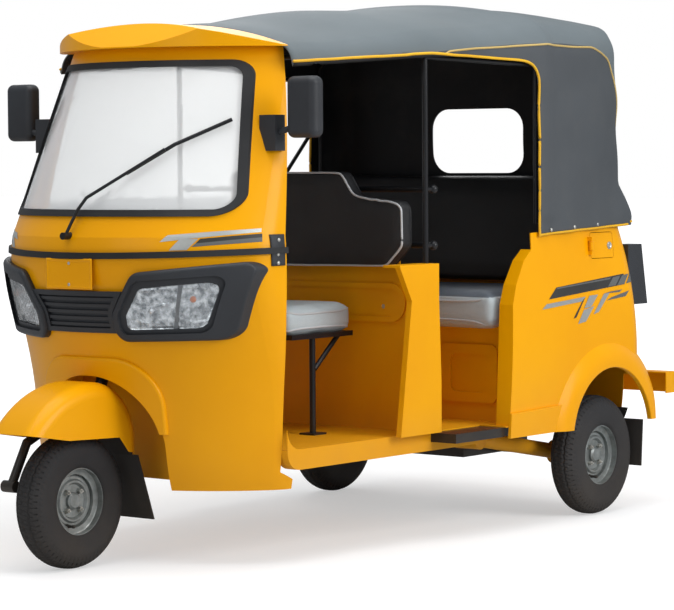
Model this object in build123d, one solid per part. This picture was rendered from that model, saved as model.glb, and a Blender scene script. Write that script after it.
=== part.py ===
"""Three-wheeled passenger auto rickshaw: yellow steel body, vinyl canopy, one steered front wheel.

Frame: millimetres, +Z up, ground at z = 0, the vehicle faces -Y and its open side is +X.
Stations are distances aft of the front axle; at() turns a station into a y coordinate.
"""
from build123d import *
from functools import lru_cache
import math
import os

# ---------------------------------------------------------------- driving dimensions
LENGTH = 2647.0            # front mudguard tip to rear bumper face
WIDTH = 1329.0             # over the rear wheel flares
WHEELBASE = 1985.0
REAR_TRACK = 1140.0
FRONT_OVERHANG = 253.5     # mudguard tip ahead of the front axle
AXLE_Y = FRONT_OVERHANG - LENGTH / 2

PANEL = 4.0                # every pressed body panel
IN_WALL = PANEL / 2        # a piece joined to a body panel ends halfway through it
VINYL = 5.0                # canopy cloth with its lining
GLASS = 5.0
FIT = 0.3                  # working gap between pieces that do not touch

TYRE_R = 205.0
TYRE_W = 108.0
BEAD_R = 102.0
FLANGE_R = 116.0
RIM_HALF = 40.0            # wheel centre to the outer face of a rim flange
DISC_T = 4.0
HUB_R = 26.0
WELL_R = 84.0
RIM_T = 3.0
NUT_CIRCLE_R = 39.0
NUT_BOSS_R = 10.0
DRUM_R = 84.0
DRUM_W = 46.0


def at(station):
    """y coordinate of a station measured aft of the front axle."""
    return AXLE_Y + station


# ---------------------------------------------------------------- cab
CAB_BASE_Z = 232.0
CAB_WAIST_Z = 1000.0
CAB_TOP_Z = 1572.0
DOOR_STATION = 398.0       # rear edge of the cab side, below the waist
DOOR_TOP_STATION = 500.0   # the same edge at the roof
VISOR_FRONT = 228.0
VISOR_HALF = 468.0
VISOR_R = 575.0
VISOR_TOP_Z = 1650.0
CAB_TAIL = 46.0            # the cab side runs this far back under the sill
# plan sections of the cab: height, nose station, nose radius, half width, corner radius
CAB_LOWER = [
    (232.0, 150.0, 600.0, 500.0, 120.0),
    (420.0, 118.0, 600.0, 518.0, 145.0),
    (700.0, 62.0, 600.0, 522.0, 150.0),
    (950.0, 5.0, 589.0, 525.0, 150.0),
    (1000.0, 8.0, 575.0, 522.0, 140.0),
]
CAB_UPPER = [
    (1000.0, 8.0, 575.0, 522.0, 140.0),
    (1572.0, 274.0, 531.0, 462.0, 100.0),
]
SCREEN_TOP_Z = 1532.0
SCREEN_BASE_Z = 1062.0
SCREEN_TOP_HALF = 392.0
SCREEN_BASE_HALF = 470.0
SCREEN_CORNER_R = 62.0
SEAL_W = 20.0
SEAL_PROUD = 7.0
WIPER_Z = 1004.0           # wiper spindle
ARCH_HALF = 234.0          # front wheel opening in the cab
ARCH_TOP_Z = 578.0
ARCH_R = 222.0
WELL_BACK_STATION = 345.0
WELL_SIDE_R = 300.0

# ---------------------------------------------------------------- lamps and front trim
LAMP_PROUD = 26.0          # surround ahead of the cowl
BEZEL_PROUD = 15.0         # recessed rim between surround and lens
LENS_PROUD = 12.0
# front-view corners of the left lamp with their radii: x, z, radius
SURROUND_CORNERS = [(141, 686, 42), (460, 694, 62), (529, 931, 26), (224, 896, 48), (141, 772, 46)]
BEZEL_CORNERS = [(163, 708, 24), (410, 716, 46), (471, 890, 22), (232, 870, 34), (166, 768, 30)]
LENS_CORNERS = [(182, 723, 14), (396, 731, 36), (450, 870, 18), (240, 850, 26), (184, 766, 24)]
GRILLE_BASE_Z = 712.0
GRILLE_TOP_Z = 839.0
GRILLE_RIM = 15.0
GRILLE_PROUD = 14.0
GRILLE_SLATS = 5
MOULDING_Z = 945.0         # middle of the strip at the nose
MOULDING_RISE = 13.0       # and how much higher it ends
MOULDING_H = 19.0
MOULDING_PROUD = 9.0
BROW_HALF = 247.0          # raised lip over the wheel opening
BROW_TOP_Z = 636.0
BROW_R = 150.0
BROW_BASE_Z = 405.0
BROW_PROUD = 13.0
BROW_FILLET = 9.0
SURROUND_FILLET = 12.0

# ---------------------------------------------------------------- floor and body sides
FLOOR_Z = 352.0
FLOOR_T = 6.0
SILL_HALF = 524.0
SILL_H = 62.0
SILL_W = 44.0
FLOOR_REAR_STATION = 1390.0
GUSSET_R = 62.0
PARTITION_STATION = 1085.0
PARTITION_HALF = 600.0
PARTITION_TOP_Z = 886.0
DISH_HALF = 455.0          # pressed dish across the partition
DISH_Z = 765.0
DISH_H = 126.0
DISH_PROUD = 7.0
POST_X = 524.0
POST_R = 9.0
POST_STATION = 1098.0
BODY_HALF = 640.0
FLARE_HALF = WIDTH / 2
SKIRT_Z = 409.0            # crease over the stepped-out lower edge, at the wheel
SKIRT_PROUD = 8.0
QUARTER_FLANGE = 58.0      # folded return down the front edge
HEM_FRONT_Z = 968.0        # canopy hem where the body side starts
HEM_REAR_Z = 1006.0        # and at the back
HEM_LAP = 12.0             # canopy hangs this far over the body
BODY_BASE_Z = 312.0
BODY_FRONT_STATION = 1400.0
BODY_REAR_STATION = 2262.0
REAR_LEAN = 75.0
BODY_CORNER_R = 95.0
WHEEL_ARCH_R = 247.0
WHEEL_ARCH_Z = 262.0
FLARE_R = 335.0
FLARE_RETURN = 18.0
FLAP_STATION = 1972.0      # centre of the fuel flap
FLAP_Z = 928.0
FLAP_HINGE_STATION = 1893.0
FLAP_HINGE_X = BODY_HALF - 6
LID_HINGE_STATION = 2262.0
LID_HINGE_Z = 858.0
HINGE_PIN_R = 4.0
HINGE_CLEARANCE = 0.08
HINGE_HALF = 24.0          # half the gap between a lid hinge's ears
LID_HINGE_X = 300.0
STEP_FRONT = 1121.0
STEP_REAR = 1392.0

# ---------------------------------------------------------------- canopy
CANOPY_FRONT = 482.0
CANOPY_BASE_Z = 940.0
# cross sections: station, crown height, crown radius, half width, shoulder radius
CANOPY_BOWS = [
    (482.0, 1648.0, 1426.0, 486.0, 70.0),
    (1083.0, 1718.0, 1618.0, 560.0, 90.0),
    (1600.0, 1750.0, 2300.0, BODY_HALF - 12, 120.0),
    (2300.0, 1750.0, 2300.0, BODY_HALF - 12, 130.0),
]
CANOPY_REAR = 2213.0
CANOPY_REAR_TOP = 2105.0
CANOPY_CORNER_R = 102.0
EAVE = [(482.0, 1525.0), (1083.0, 1563.0), (1520.0, 1547.0), (1572.0, 1520.0)]
QUARTER_FRONT = 1590.0
RIGHT_QUARTER_FRONT = 1935.0
WINDOW_HALF = 200.0
WINDOW_BASE_Z = 1175.0
WINDOW_TOP_Z = 1405.0
WINDOW_R = 70.0
RAIL_R = 8.0
RAIL_HALF = BODY_HALF - 40  # canopy side rails

# ---------------------------------------------------------------- seats
DRIVER_SEAT_FRONT = 686.0
DRIVER_SEAT_REAR = 1026.0
DRIVER_SEAT_HALF = 300.0
DRIVER_SEAT_TOP = 764.0
DRIVER_SEAT_BASE = 676.0
PASSENGER_SEAT_FRONT = 1400.0
PASSENGER_SEAT_REAR = 2010.0
PASSENGER_SEAT_HALF = 575.0
PASSENGER_SEAT_TOP = 783.0
PASSENGER_SEAT_BASE = 672.0
PASSENGER_BACK_TOP = 1180.0
BULKHEAD_TOP_Z = 985.0

# ---------------------------------------------------------------- steering and front suspension
RAKE = 18.0                # degrees the steering axis leans back
STEER_STATION = 30.0       # where that axis crosses wheel-centre height
STEM_R = 19.0
HEAD_R = 30.0
BAR_Z = 1030.0
BAR_HALF = 310.0
FORK_X = -76.0
LINK_PIVOT = (-165.0, 258.0)     # station and height of the trailing-link pivot
MUDGUARD_R = 360.0         # long front arc
MUDGUARD_REAR_R = 179.0    # quarter turn behind it
MUDGUARD_CROWN_R = 46.0
MUDGUARD_TOP_STATION = 30.0
MUDGUARD_TOP_Z = 564.0
MUDGUARD_HALF = 96.0
MUDGUARD_T = 3.0
AXLE_R = 11.0
ENGINE_HALF = 190.0
RAIL_X = 300.0

os.makedirs("parts", exist_ok=True)


def save(name, shape):
    """Write one node."""
    export_step(shape, f"parts/{name}.step")


# ---------------------------------------------------------------- shared shapes
def nose_outline(half, nose_r, corner_r, depth):
    """Closed outline with a nose arc, two corner arcs and straight sides.

    The nose top is at the local origin and the outline runs back along +v to depth.
    """
    swing = nose_r - corner_r
    cx = half - corner_r
    cv = nose_r - math.sqrt(swing ** 2 - cx ** 2)
    tx = cx / swing * nose_r
    tv = nose_r - math.sqrt(nose_r ** 2 - tx ** 2)
    mid = math.atan2(cv - nose_r, cx)
    a_mid = mid / 2
    mx = cx + corner_r * math.cos(a_mid)
    mv = cv + corner_r * math.sin(a_mid)
    return [(tx, tv), (mx, mv), (half, cv), (half, depth)]


def nose_wire(half, nose_r, corner_r, depth, place):
    """The outline as a wire; place maps local (u, v) to a 3-D point."""
    tangent, middle, side, back = nose_outline(half, nose_r, corner_r, depth)
    mirror = [(-u, v) for u, v in (tangent, middle, side, back)]
    edges = [
        ThreePointArc(place(*mirror[0]), place(0, 0), place(*tangent)),
        ThreePointArc(place(*tangent), place(*middle), place(*side)),
        Line(place(*side), place(*back)),
        Line(place(*back), place(*mirror[3])),
        Line(place(*mirror[3]), place(*mirror[2])),
        ThreePointArc(place(*mirror[2]), place(*mirror[1]), place(*mirror[0])),
    ]
    return Wire(edges)


@lru_cache(maxsize=None)
def cab_solid(inset):
    """The cab's outer form, drawn in by inset."""
    parts = []
    for rows, ruled in ((CAB_LOWER, False), (CAB_UPPER, True)):
        faces = []
        for z, nose, radius, half, corner in rows:
            place = lambda u, v, z=z, nose=nose: (u, at(nose) + inset + v, z)
            depth = 700.0 - nose - inset
            faces.append(Face(nose_wire(half - inset, radius - inset, corner - inset, depth, place)))
        parts.append(Solid.make_loft([f.outer_wire() for f in faces], ruled))
    return parts[0] + parts[1]


def prism_y(outline, y0, y1):
    """A front-view face (x, z) swept from y0 to y1."""
    face = Plane((0, y0, 0), x_dir=(1, 0, 0), z_dir=(0, -1, 0)) * outline
    return extrude(face, amount=-(y1 - y0))


def side_prism(points, x0, x1):
    """A side-view polygon of (station, z) swept from x0 to x1."""
    face = make_face(Polyline([(x0, at(s), z) for s, z in points], close=True))
    return extrude(face, amount=abs(x1 - x0), dir=(1 if x1 > x0 else -1, 0, 0))


def box(x0, x1, s0, s1, z0, z1):
    """A box between two x values, two stations and two heights."""
    size = Box(abs(x1 - x0), s1 - s0, z1 - z0)
    return Pos((x0 + x1) / 2, at((s0 + s1) / 2), (z0 + z1) / 2) * size


def rod(a, b, radius):
    """A round bar between two points given as (x, station, z)."""
    p, q = Vector(a[0], at(a[1]), a[2]), Vector(b[0], at(b[1]), b[2])
    plane = Plane(p, z_dir=(q - p))
    return plane * Cylinder(radius, (q - p).length, align=(Align.CENTER, Align.CENTER, Align.MIN))


def tube_run(points, radius):
    """Round bar along several points, with a ball at each bend."""
    run = rod(points[0], points[1], radius)
    for a, b in zip(points[1:], points[2:]):
        run = run + rod(a, b, radius) + Pos(a[0], at(a[1]), a[2]) * Sphere(radius)
    return run


def screen_outline(grow):
    """Front-view outline of the windscreen opening, grown by grow."""
    top, base = SCREEN_TOP_HALF + grow, SCREEN_BASE_HALF + grow
    corners = [
        (-base, SCREEN_BASE_Z - grow), (base, SCREEN_BASE_Z - grow),
        (top, SCREEN_TOP_Z + grow), (-top, SCREEN_TOP_Z + grow),
    ]
    face = make_face(Polyline(corners, close=True))
    return fillet(face.vertices(), SCREEN_CORNER_R + grow)


def rounded_outline(corners, side=1):
    """Polygon of (x, z, radius) corners as a face; side = -1 mirrors it."""
    face = make_face(Polyline([(side * x, z) for x, z, r in corners], close=True))
    for x, z, r in corners:
        corner = face.vertices().sort_by_distance((side * x, z, 0))[0]
        face = fillet(corner, r)
    return face


def arch_outline(half, top, radius, base):
    """Front-view arch: straight sides under a rounded top."""
    face = Pos(0, (top + base) / 2) * Rectangle(2 * half, top - base)
    upper = face.vertices().sort_by(Axis.Y)[-2:]
    return fillet(upper, radius)


def steer_point(z):
    """Station of the steering axis at height z."""
    return STEER_STATION + (z - TYRE_R) * math.tan(math.radians(RAKE))


# ---------------------------------------------------------------- cab pieces
def cab_shell(outset, inset):
    """Wall between two offsets of the cab form."""
    return cab_solid(-outset) - cab_solid(inset)


def door_cut():
    """Everything behind the cab's rear edge."""
    tail, tail_z = DOOR_STATION + CAB_TAIL, FLOOR_Z - SILL_H
    over = CAB_TOP_Z + 200
    return side_prism([
        (tail, 0), (tail, tail_z - 28), (DOOR_STATION, tail_z - 4), (DOOR_STATION, CAB_WAIST_Z),
        (DOOR_TOP_STATION, CAB_TOP_Z), (DOOR_TOP_STATION, over), (1500, over), (1500, 0),
    ], -900, 900)


def band(outline, outset, inset):
    """Strip of the cab surface seen through a front-view outline."""
    reach = prism_y(outline, at(-250), at(DOOR_TOP_STATION))
    return (cab_shell(outset, inset) & reach) - door_cut()


def door_jamb():
    """Folded flange down the rear edge of both cab sides."""
    jamb = None
    for side in (-1, 1):
        flange = side_prism([
            (DOOR_STATION - 26, CAB_BASE_Z + 8), (DOOR_STATION, CAB_BASE_Z + 8),
            (DOOR_STATION, CAB_WAIST_Z), (DOOR_TOP_STATION, CAB_TOP_Z),
            (DOOR_TOP_STATION - 26, CAB_TOP_Z), (DOOR_STATION - 26, CAB_WAIST_Z),
        ], side * 380, side * 600)
        fold = (flange & cab_solid(PANEL)) - cab_solid(PANEL + 26)
        jamb = fold if jamb is None else jamb + fold
    return jamb


def front_edges(piece, proud, spare):
    """Long edges of a raised band on its outer face, apart from those inside the solid spare."""
    core = cab_solid(1 - proud)
    found = []
    for edge in piece.edges():
        middle = edge @ 0.5
        if edge.length > 30 and not core.is_inside(middle) and not spare.is_inside(middle):
            found.append(edge)
    return found


def wheel_opening(grow):
    """Cutter for the front wheel opening, grown by grow."""
    outline = arch_outline(ARCH_HALF + grow, ARCH_TOP_Z + grow, ARCH_R + grow, CAB_BASE_Z - 60)
    return prism_y(outline, at(-200), at(300))


def make_cab():
    shell = cab_shell(0, PANEL) - door_cut()
    shell = shell - prism_y(screen_outline(0), at(-200), at(560))
    brow = band(arch_outline(BROW_HALF, BROW_TOP_Z, BROW_R, BROW_BASE_Z), BROW_PROUD, 1)
    brow = brow - wheel_opening(0)
    brow = fillet(front_edges(brow, BROW_PROUD, wheel_opening(5)), BROW_FILLET)
    save("front_cowl", (shell - wheel_opening(0)) + brow + door_jamb())


def make_screen():
    ring = screen_outline(0) - screen_outline(-SEAL_W)
    save("windscreen_seal", band(ring, SEAL_PROUD, PANEL + 6))
    save("windscreen_glass", band(screen_outline(-SEAL_W), -PANEL, PANEL + GLASS))


def make_visor():
    """Yellow brow over the windscreen that carries the front edge of the canopy."""
    def form(inset):
        base = CAB_TOP_Z + inset
        plan = Face(nose_wire(VISOR_HALF - inset, VISOR_R - inset, 60 - inset, 600,
                              lambda u, v: (u, at(VISOR_FRONT) + inset + v, base)))
        arch = Face(nose_wire(VISOR_HALF + 52 - inset, 1500 - inset, 20 - inset, 200,
                              lambda u, v: (u, at(100), VISOR_TOP_Z - inset - v)))
        lip = VISOR_FRONT + 4 + 2 * inset
        slope = side_prism([
            (lip, base - 1), (lip, base + 4), (VISOR_FRONT + 102 + inset, VISOR_TOP_Z + 2 - inset),
            (1200, VISOR_TOP_Z + 10 - inset), (1200, base - 1),
        ], -700, 700)
        return extrude(plan, amount=120, dir=(0, 0, 1)) & extrude(arch, amount=900, dir=(0, 1, 0)) & slope
    behind = box(-700, 700, CANOPY_FRONT, 1400, 1500, 1800)
    save("roof_visor", form(0) - form(PANEL) - behind)


def make_lamps():
    surrounds, lenses = [], []
    for side in (1, -1):
        body = band(rounded_outline(SURROUND_CORNERS, side), LAMP_PROUD, 0)
        lens = rounded_outline(LENS_CORNERS, side)
        opening = prism_y(lens, at(-200), at(DOOR_STATION))
        body = fillet(front_edges(body, LAMP_PROUD, opening), SURROUND_FILLET)
        bezel = prism_y(rounded_outline(BEZEL_CORNERS, side), at(-200), at(DOOR_STATION))
        body = body - (bezel - cab_solid(-BEZEL_PROUD))
        surrounds += (body - opening).solids()
        lenses += band(lens, LENS_PROUD, 0).solids()
    save("lamp_surrounds", Compound(surrounds))
    save("headlamps", Compound(lenses))


def make_grille():
    """Slatted panel that fills the front between the two lamp surrounds."""
    height = GRILLE_TOP_Z - GRILLE_BASE_Z
    panel = Pos(0, GRILLE_BASE_Z + height / 2) * Rectangle(2 * SURROUND_CORNERS[3][0], height)
    for side in (1, -1):
        panel = panel - offset(rounded_outline(SURROUND_CORNERS, side), 1.0)
    inside = offset(panel, -GRILLE_RIM)
    pieces = band(panel - inside, GRILLE_PROUD, 0) + band(inside, 3, 0)
    low = GRILLE_BASE_Z + GRILLE_RIM
    pitch = (height - 2 * GRILLE_RIM) / GRILLE_SLATS
    for k in range(GRILLE_SLATS):
        slat = Pos(0, low + pitch * (k + 0.5)) * Rectangle(2 * SURROUND_CORNERS[3][0], pitch * 0.5)
        pieces = pieces + band(slat & offset(inside, 2), GRILLE_PROUD - 4, 0)
    save("grille", pieces)


def make_moulding():
    """Rubbing strip that rises a little from the nose to the doors."""
    reach = CAB_LOWER[3][3] + MOULDING_PROUD

    def arc(z):
        return ThreePointArc((-reach, z + MOULDING_RISE), (0, z), (reach, z + MOULDING_RISE))
    low, high = arc(MOULDING_Z - MOULDING_H / 2), arc(MOULDING_Z + MOULDING_H / 2)
    ends = [Line(low @ k, high @ k) for k in (0, 1)]
    save("waist_moulding", band(make_face([low, high] + ends), MOULDING_PROUD, 0))


# ---------------------------------------------------------------- floor, partition and sides
def make_floor():
    plan = cab_solid(PANEL) & box(-700, 700, -100, 900, FLOOR_Z - FLOOR_T, FLOOR_Z)
    pan = plan - box(-700, 700, DOOR_STATION, 900, 200, 500)
    pan = pan - (door_jamb() & box(-700, 700, 0, 900, 200, 500))
    pan = pan + box(-SILL_HALF + SILL_W, SILL_HALF - SILL_W, DOOR_STATION, FLOOR_REAR_STATION,
                    FLOOR_Z - FLOOR_T, FLOOR_Z)
    pan = pan - box(-WELL_SIDE_R, WELL_SIDE_R, -300, WELL_BACK_STATION, 200, 500)
    sill = Pos(at((DOOR_STATION + FLOOR_REAR_STATION) / 2), FLOOR_Z - SILL_H / 2) * Rectangle(
        FLOOR_REAR_STATION - DOOR_STATION, SILL_H)
    sill = fillet(sill.vertices().sort_by_distance((at(DOOR_STATION), FLOOR_Z - SILL_H, 0))[0], SILL_H - 5)
    for side in (-1, 1):
        inner = Plane((side * (SILL_HALF - SILL_W), 0, 0), x_dir=(0, 1, 0), z_dir=(1, 0, 0))
        pan = pan + extrude(inner * sill, amount=side * SILL_W)
        pan = pan + sill_gusset(side)
    save("floor_pan", pan)
    outer = prism_y(arch_outline(WELL_SIDE_R, ARCH_TOP_Z + 62, 200, CAB_BASE_Z + 10), at(0),
                    at(WELL_BACK_STATION))
    inner = prism_y(arch_outline(WELL_SIDE_R - PANEL, ARCH_TOP_Z + 62 - PANEL, 196, 100), at(-50),
                    at(WELL_BACK_STATION - PANEL))
    well = (outer - inner) & cab_solid(PANEL)
    well = well - steer_rod(HEAD_R, 560, 700)
    save("wheel_well", well)
    head = steer_rod(HEAD_R, 590, 760) - steer_rod(STEM_R + FIT, 500, 900)
    collar = steer_rod(HEAD_R + 14, 700, 716) - steer_rod(STEM_R + FIT, 500, 900)
    save("steering_head", head + collar)


def sill_gusset(side):
    """Curved web in the corner between the cab's rear edge and the sill."""
    x, s0, z0 = side * SILL_HALF, DOOR_STATION, FLOOR_Z
    bend = GUSSET_R * (1 - math.sqrt(0.5))
    top, corner, rear = (x, at(s0), z0 + GUSSET_R), (x, at(s0), z0), (x, at(s0 + GUSSET_R), z0)
    edges = [ThreePointArc(top, (x, at(s0 + bend), z0 + bend), rear), Line(rear, corner), Line(corner, top)]
    return extrude(make_face(edges), amount=PANEL, dir=(-side, 0, 0))


def steer_rod(radius, z0, z1):
    """Round bar along the steering axis between two heights."""
    return rod((0, steer_point(z0), z0), (0, steer_point(z1), z1), radius)


def make_partition():
    z0 = FLOOR_Z
    wall = box(-PARTITION_HALF + 60, PARTITION_HALF - 60, PARTITION_STATION,
               PARTITION_STATION + PANEL, z0, PARTITION_TOP_Z - 60)
    wall = wall + box(-240, 430, PARTITION_STATION, PARTITION_STATION + PANEL, 800, 1080)
    for side in (-1, 1):
        post = side_prism([(905, z0), (1120, z0), (1120, 520), (1110, 780), (1110, PARTITION_TOP_Z),
                           (905, PARTITION_TOP_Z), (965, 780), (940, 600)], side * 548, side * 568)
        face = box(side * 470, side * 568, PARTITION_STATION + PANEL, 1110, z0, PARTITION_TOP_Z)
        ledge = box(side * 500, side * 568, 905, 1110, PARTITION_TOP_Z, PARTITION_TOP_Z + 8)
        wall = wall + post + face + ledge
    dish = Pos(0, DISH_Z) * (RectangleRounded(2 * DISH_HALF, DISH_H, DISH_H / 2 - 2)
                             - RectangleRounded(2 * DISH_HALF - 36, DISH_H - 36, DISH_H / 2 - 20))
    wall = wall + prism_y(dish, at(PARTITION_STATION - DISH_PROUD), at(PARTITION_STATION))
    save("partition", wall - rod((360, 1060, 752), (360, 1100, 752), 8))


@lru_cache(maxsize=None)
def body_side(inset):
    """Plan outline of the rear body, half by half, as a solid that leans in at the top."""
    rows = [
        (BODY_BASE_Z, BODY_HALF - 6, BODY_REAR_STATION + 10),
        (470.0, BODY_HALF, BODY_REAR_STATION + 33),
        (1020.0, BODY_HALF - 26, BODY_REAR_STATION - REAR_LEAN + 4),
    ]
    wires = []
    for z, half, rear in rows:
        place = lambda u, v, z=z, rear=rear: (u, at(rear) - inset - v, z)
        wires.append(nose_wire(half - inset, 2600 - inset, BODY_CORNER_R - inset, 1400, place))
    return Solid.make_loft(wires, False)


def hem_line(lap):
    """Side-view line (station, z) of the canopy hem, raised by lap."""
    return [(BODY_FRONT_STATION - 200, HEM_FRONT_Z + lap), (BODY_FRONT_STATION + 160, HEM_FRONT_Z + lap),
            (BODY_REAR_STATION + 200, HEM_REAR_Z + lap)]


def make_flare(side):
    """Wheel-arch flare that swells out of the body side in an S curve."""
    body, lip = BODY_HALF - 14, FLARE_HALF
    inner, outer = WHEEL_ARCH_R, FLARE_R + 14

    def swell(shift):
        return Spline((inner + 14, 0, lip - shift), (outer, 0, body - shift), tangents=[(1, 0, 0), (1, 0, -0.7)])
    face_side, back_side = swell(0), swell(PANEL)
    edges = [
        face_side, back_side,
        Line((outer, 0, body), (outer, 0, body - PANEL)),
        Line((inner + 14, 0, lip - PANEL), (inner + PANEL, 0, lip - PANEL)),
        Line((inner + PANEL, 0, lip - PANEL), (inner + PANEL, 0, lip - FLARE_RETURN)),
        Line((inner + PANEL, 0, lip - FLARE_RETURN), (inner, 0, lip - FLARE_RETURN)),
        Line((inner, 0, lip - FLARE_RETURN), (inner, 0, lip - 4)),
        ThreePointArc((inner, 0, lip - 4), (inner + 1.17, 0, lip - 1.17), (inner + 4, 0, lip)),
        Line((inner + 4, 0, lip), (inner + 14, 0, lip)),
    ]
    ring = revolve(make_face(edges), Axis.Z, 360)
    ring = Plane((0, at(WHEELBASE), WHEEL_ARCH_Z), x_dir=(0, 1, 0), z_dir=(side, 0, 0)) * ring
    keep = box(side * 560, side * 900, 1000, BODY_REAR_STATION - 5, BODY_BASE_Z, 1200)
    return (ring & keep) - body_side(IN_WALL)


def make_skirt(side):
    """Stepped-out lower edge of a quarter, from the door to the wheel arch."""
    below = side_prism([(BODY_FRONT_STATION, BODY_BASE_Z), (BODY_FRONT_STATION, SKIRT_Z - 16),
                        (WHEELBASE, SKIRT_Z), (WHEELBASE, BODY_BASE_Z)], side * 560, side * 900)
    step = (body_side(-SKIRT_PROUD) - body_side(IN_WALL)) & below
    return step - wheel_drum(side, WHEEL_ARCH_R + 20)


def quarter_front():
    """Side-view points (station, z) of the quarter's front edge, from the floor up."""
    return [(BODY_FRONT_STATION, BODY_BASE_Z), (1424, 748), (1447, 812), (1500, 890), (1548, 926)]


def front_flange(side):
    """Return fold down the front edge of a quarter."""
    (s0, z0), (s1, z1), *rest = quarter_front()
    foot = FLOOR_Z + FIT
    line = [(s0 + (s1 - s0) * (foot - z0) / (z1 - z0), foot), (s1, z1), *rest]
    back = [(station + PANEL, z) for station, z in reversed(line)]
    fold = side_prism(line + back, side * (BODY_HALF - QUARTER_FLANGE), side * (BODY_HALF + 20))
    return fold & body_side(IN_WALL)


def flap_prism(shrink):
    outline = Pos(at(FLAP_STATION), FLAP_Z) * RectangleRounded(143 - 2 * shrink, 90 - 2 * shrink, 12 - shrink)
    return extrude(Plane((600, 0, 0), x_dir=(0, 1, 0), z_dir=(1, 0, 0)) * outline, amount=100)


def lid_prism(shrink):
    outline = Pos(0, 672) * RectangleRounded(906 - 2 * shrink, 360 - 2 * shrink, 43 - shrink)
    return prism_y(outline, at(1900), at(2500))


def wheel_drum(side, radius):
    """Disc-shaped cutter through the body side over one rear wheel."""
    return rod((side * 500, WHEELBASE, WHEEL_ARCH_Z), (side * 900, WHEELBASE, WHEEL_ARCH_Z), radius)


def lid_hinge():
    """Pins with their ears for the rear panel, and knuckles with straps for the lid."""
    s, z = LID_HINGE_STATION, LID_HINGE_Z
    pins, knuckles = [], []
    for x in (-LID_HINGE_X, LID_HINGE_X):
        def bar(half, radius):
            return rod((x - half, s, z), (x + half, s, z), radius)
        ear = box(x - HINGE_HALF - 14, x - HINGE_HALF, s - 60, s + 5, z - 5, z + 14)
        ears = (ear + mirror(ear, Plane.YZ.offset(x))) - body_side(0)
        pins.append(bar(HINGE_HALF + 12, HINGE_PIN_R) + ears)
        strap = box(x - HINGE_HALF + 2, x + HINGE_HALF - 2, s - 60, s + 5, z - 60, z - 5) - body_side(0)
        sleeve = bar(HINGE_HALF - 2, HINGE_PIN_R + 3)
        knuckles.append((sleeve + strap) - bar(HINGE_HALF, HINGE_PIN_R + HINGE_CLEARANCE))
    return pins, knuckles


def flap_hinge():
    """Pin with its two ears for the quarter panel, and the knuckle for the fuel flap."""
    z, station, x = FLAP_Z, FLAP_HINGE_STATION, FLAP_HINGE_X

    def bar(half, radius):
        return rod((x, station, z - half), (x, station, z + half), radius)
    low = box(560, x + 5, station - 5, station + 5, z - 30, z - 16)
    high = box(560, x + 5, station - 5, station + 5, z + 16, z + 30)
    fixed = bar(26, HINGE_PIN_R) + ((low + high) - body_side(0))
    strap = box(560, x + 5, station, station + 22, z - 14, z + 14) - body_side(0)
    knuckle = bar(14, HINGE_PIN_R + 3) + strap
    return fixed, knuckle - bar(15, HINGE_PIN_R + HINGE_CLEARANCE)


def make_quarters():
    wall = body_side(0) - body_side(PANEL)
    top = hem_line(HEM_LAP)
    keep = side_prism(quarter_front() + [
        (quarter_front()[-1][0] + 4, top[1][1]), top[2], (top[2][0], 100), (BODY_FRONT_STATION, 100),
    ], -900, 900)
    skin = wall & keep
    flap_pin, flap_knuckle = flap_hinge()
    lid_pins, lid_knuckles = lid_hinge()
    edge = BODY_HALF - BODY_CORNER_R
    for side, name in ((1, "left"), (-1, "right")):
        quarter = (skin & box(side * edge, side * 900, 1000, 2600, 0, 1200)) - wheel_drum(side, FLARE_R - 14)
        if side > 0:
            quarter = quarter - flap_prism(0) + flap_pin
        save(f"quarter_{name}", quarter + make_skirt(side) + make_flare(side) + front_flange(side))
    save("fuel_flap", (flap_prism(2) & wall) + flap_knuckle)
    back = (skin & box(-edge, edge, 2000, 2600, 0, 1200)) - lid_prism(0)
    save("rear_panel", back + lid_pins[0] + lid_pins[1])
    save("engine_lid", (lid_prism(3) & wall) + lid_knuckles[0] + lid_knuckles[1])


def make_steps():
    trays = []
    for side in (1, -1):
        tray = box(side * SILL_HALF, side * 624, STEP_FRONT, STEP_REAR, 318, FLOOR_Z - 4)
        tray = tray - box(side * SILL_HALF, side * 620, STEP_FRONT + 4, STEP_REAR - 4, 300, FLOOR_Z - 10)
        trays += tray.solids()
    save("side_steps", Compound(trays))


def bulkhead_station(z):
    """Station of the leaning seat bulkhead's front face at height z."""
    return PASSENGER_SEAT_REAR - 4 + (z - PASSENGER_SEAT_BASE) * 0.335


def make_seat_box():
    wide = BODY_HALF + 10
    wall = box(-wide, wide, 1500, 1504, FLOOR_Z, PASSENGER_SEAT_BASE)
    top = box(-wide, wide, 1504, PASSENGER_SEAT_REAR, PASSENGER_SEAT_BASE - 4, PASSENGER_SEAT_BASE)
    riser = box(-wide, wide, FLOOR_REAR_STATION, 1504, FLOOR_Z - 4, FLOOR_Z)
    low, high = PASSENGER_SEAT_BASE - 4, BULKHEAD_TOP_Z
    foot, head = bulkhead_station(low), bulkhead_station(high)
    back = side_prism([(foot, low), (head, high), (head + PANEL, high), (foot + PANEL, low)], -wide, wide)
    panel = (wall + top + riser + back) & body_side(PANEL)
    for x in (-406, 406):
        frame = Pos(x, 511) * (RectangleRounded(232, 195, 26) - RectangleRounded(150, 128, 22))
        panel = panel + prism_y(frame, at(1492), at(1500))
    save("seat_box", panel)


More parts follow.
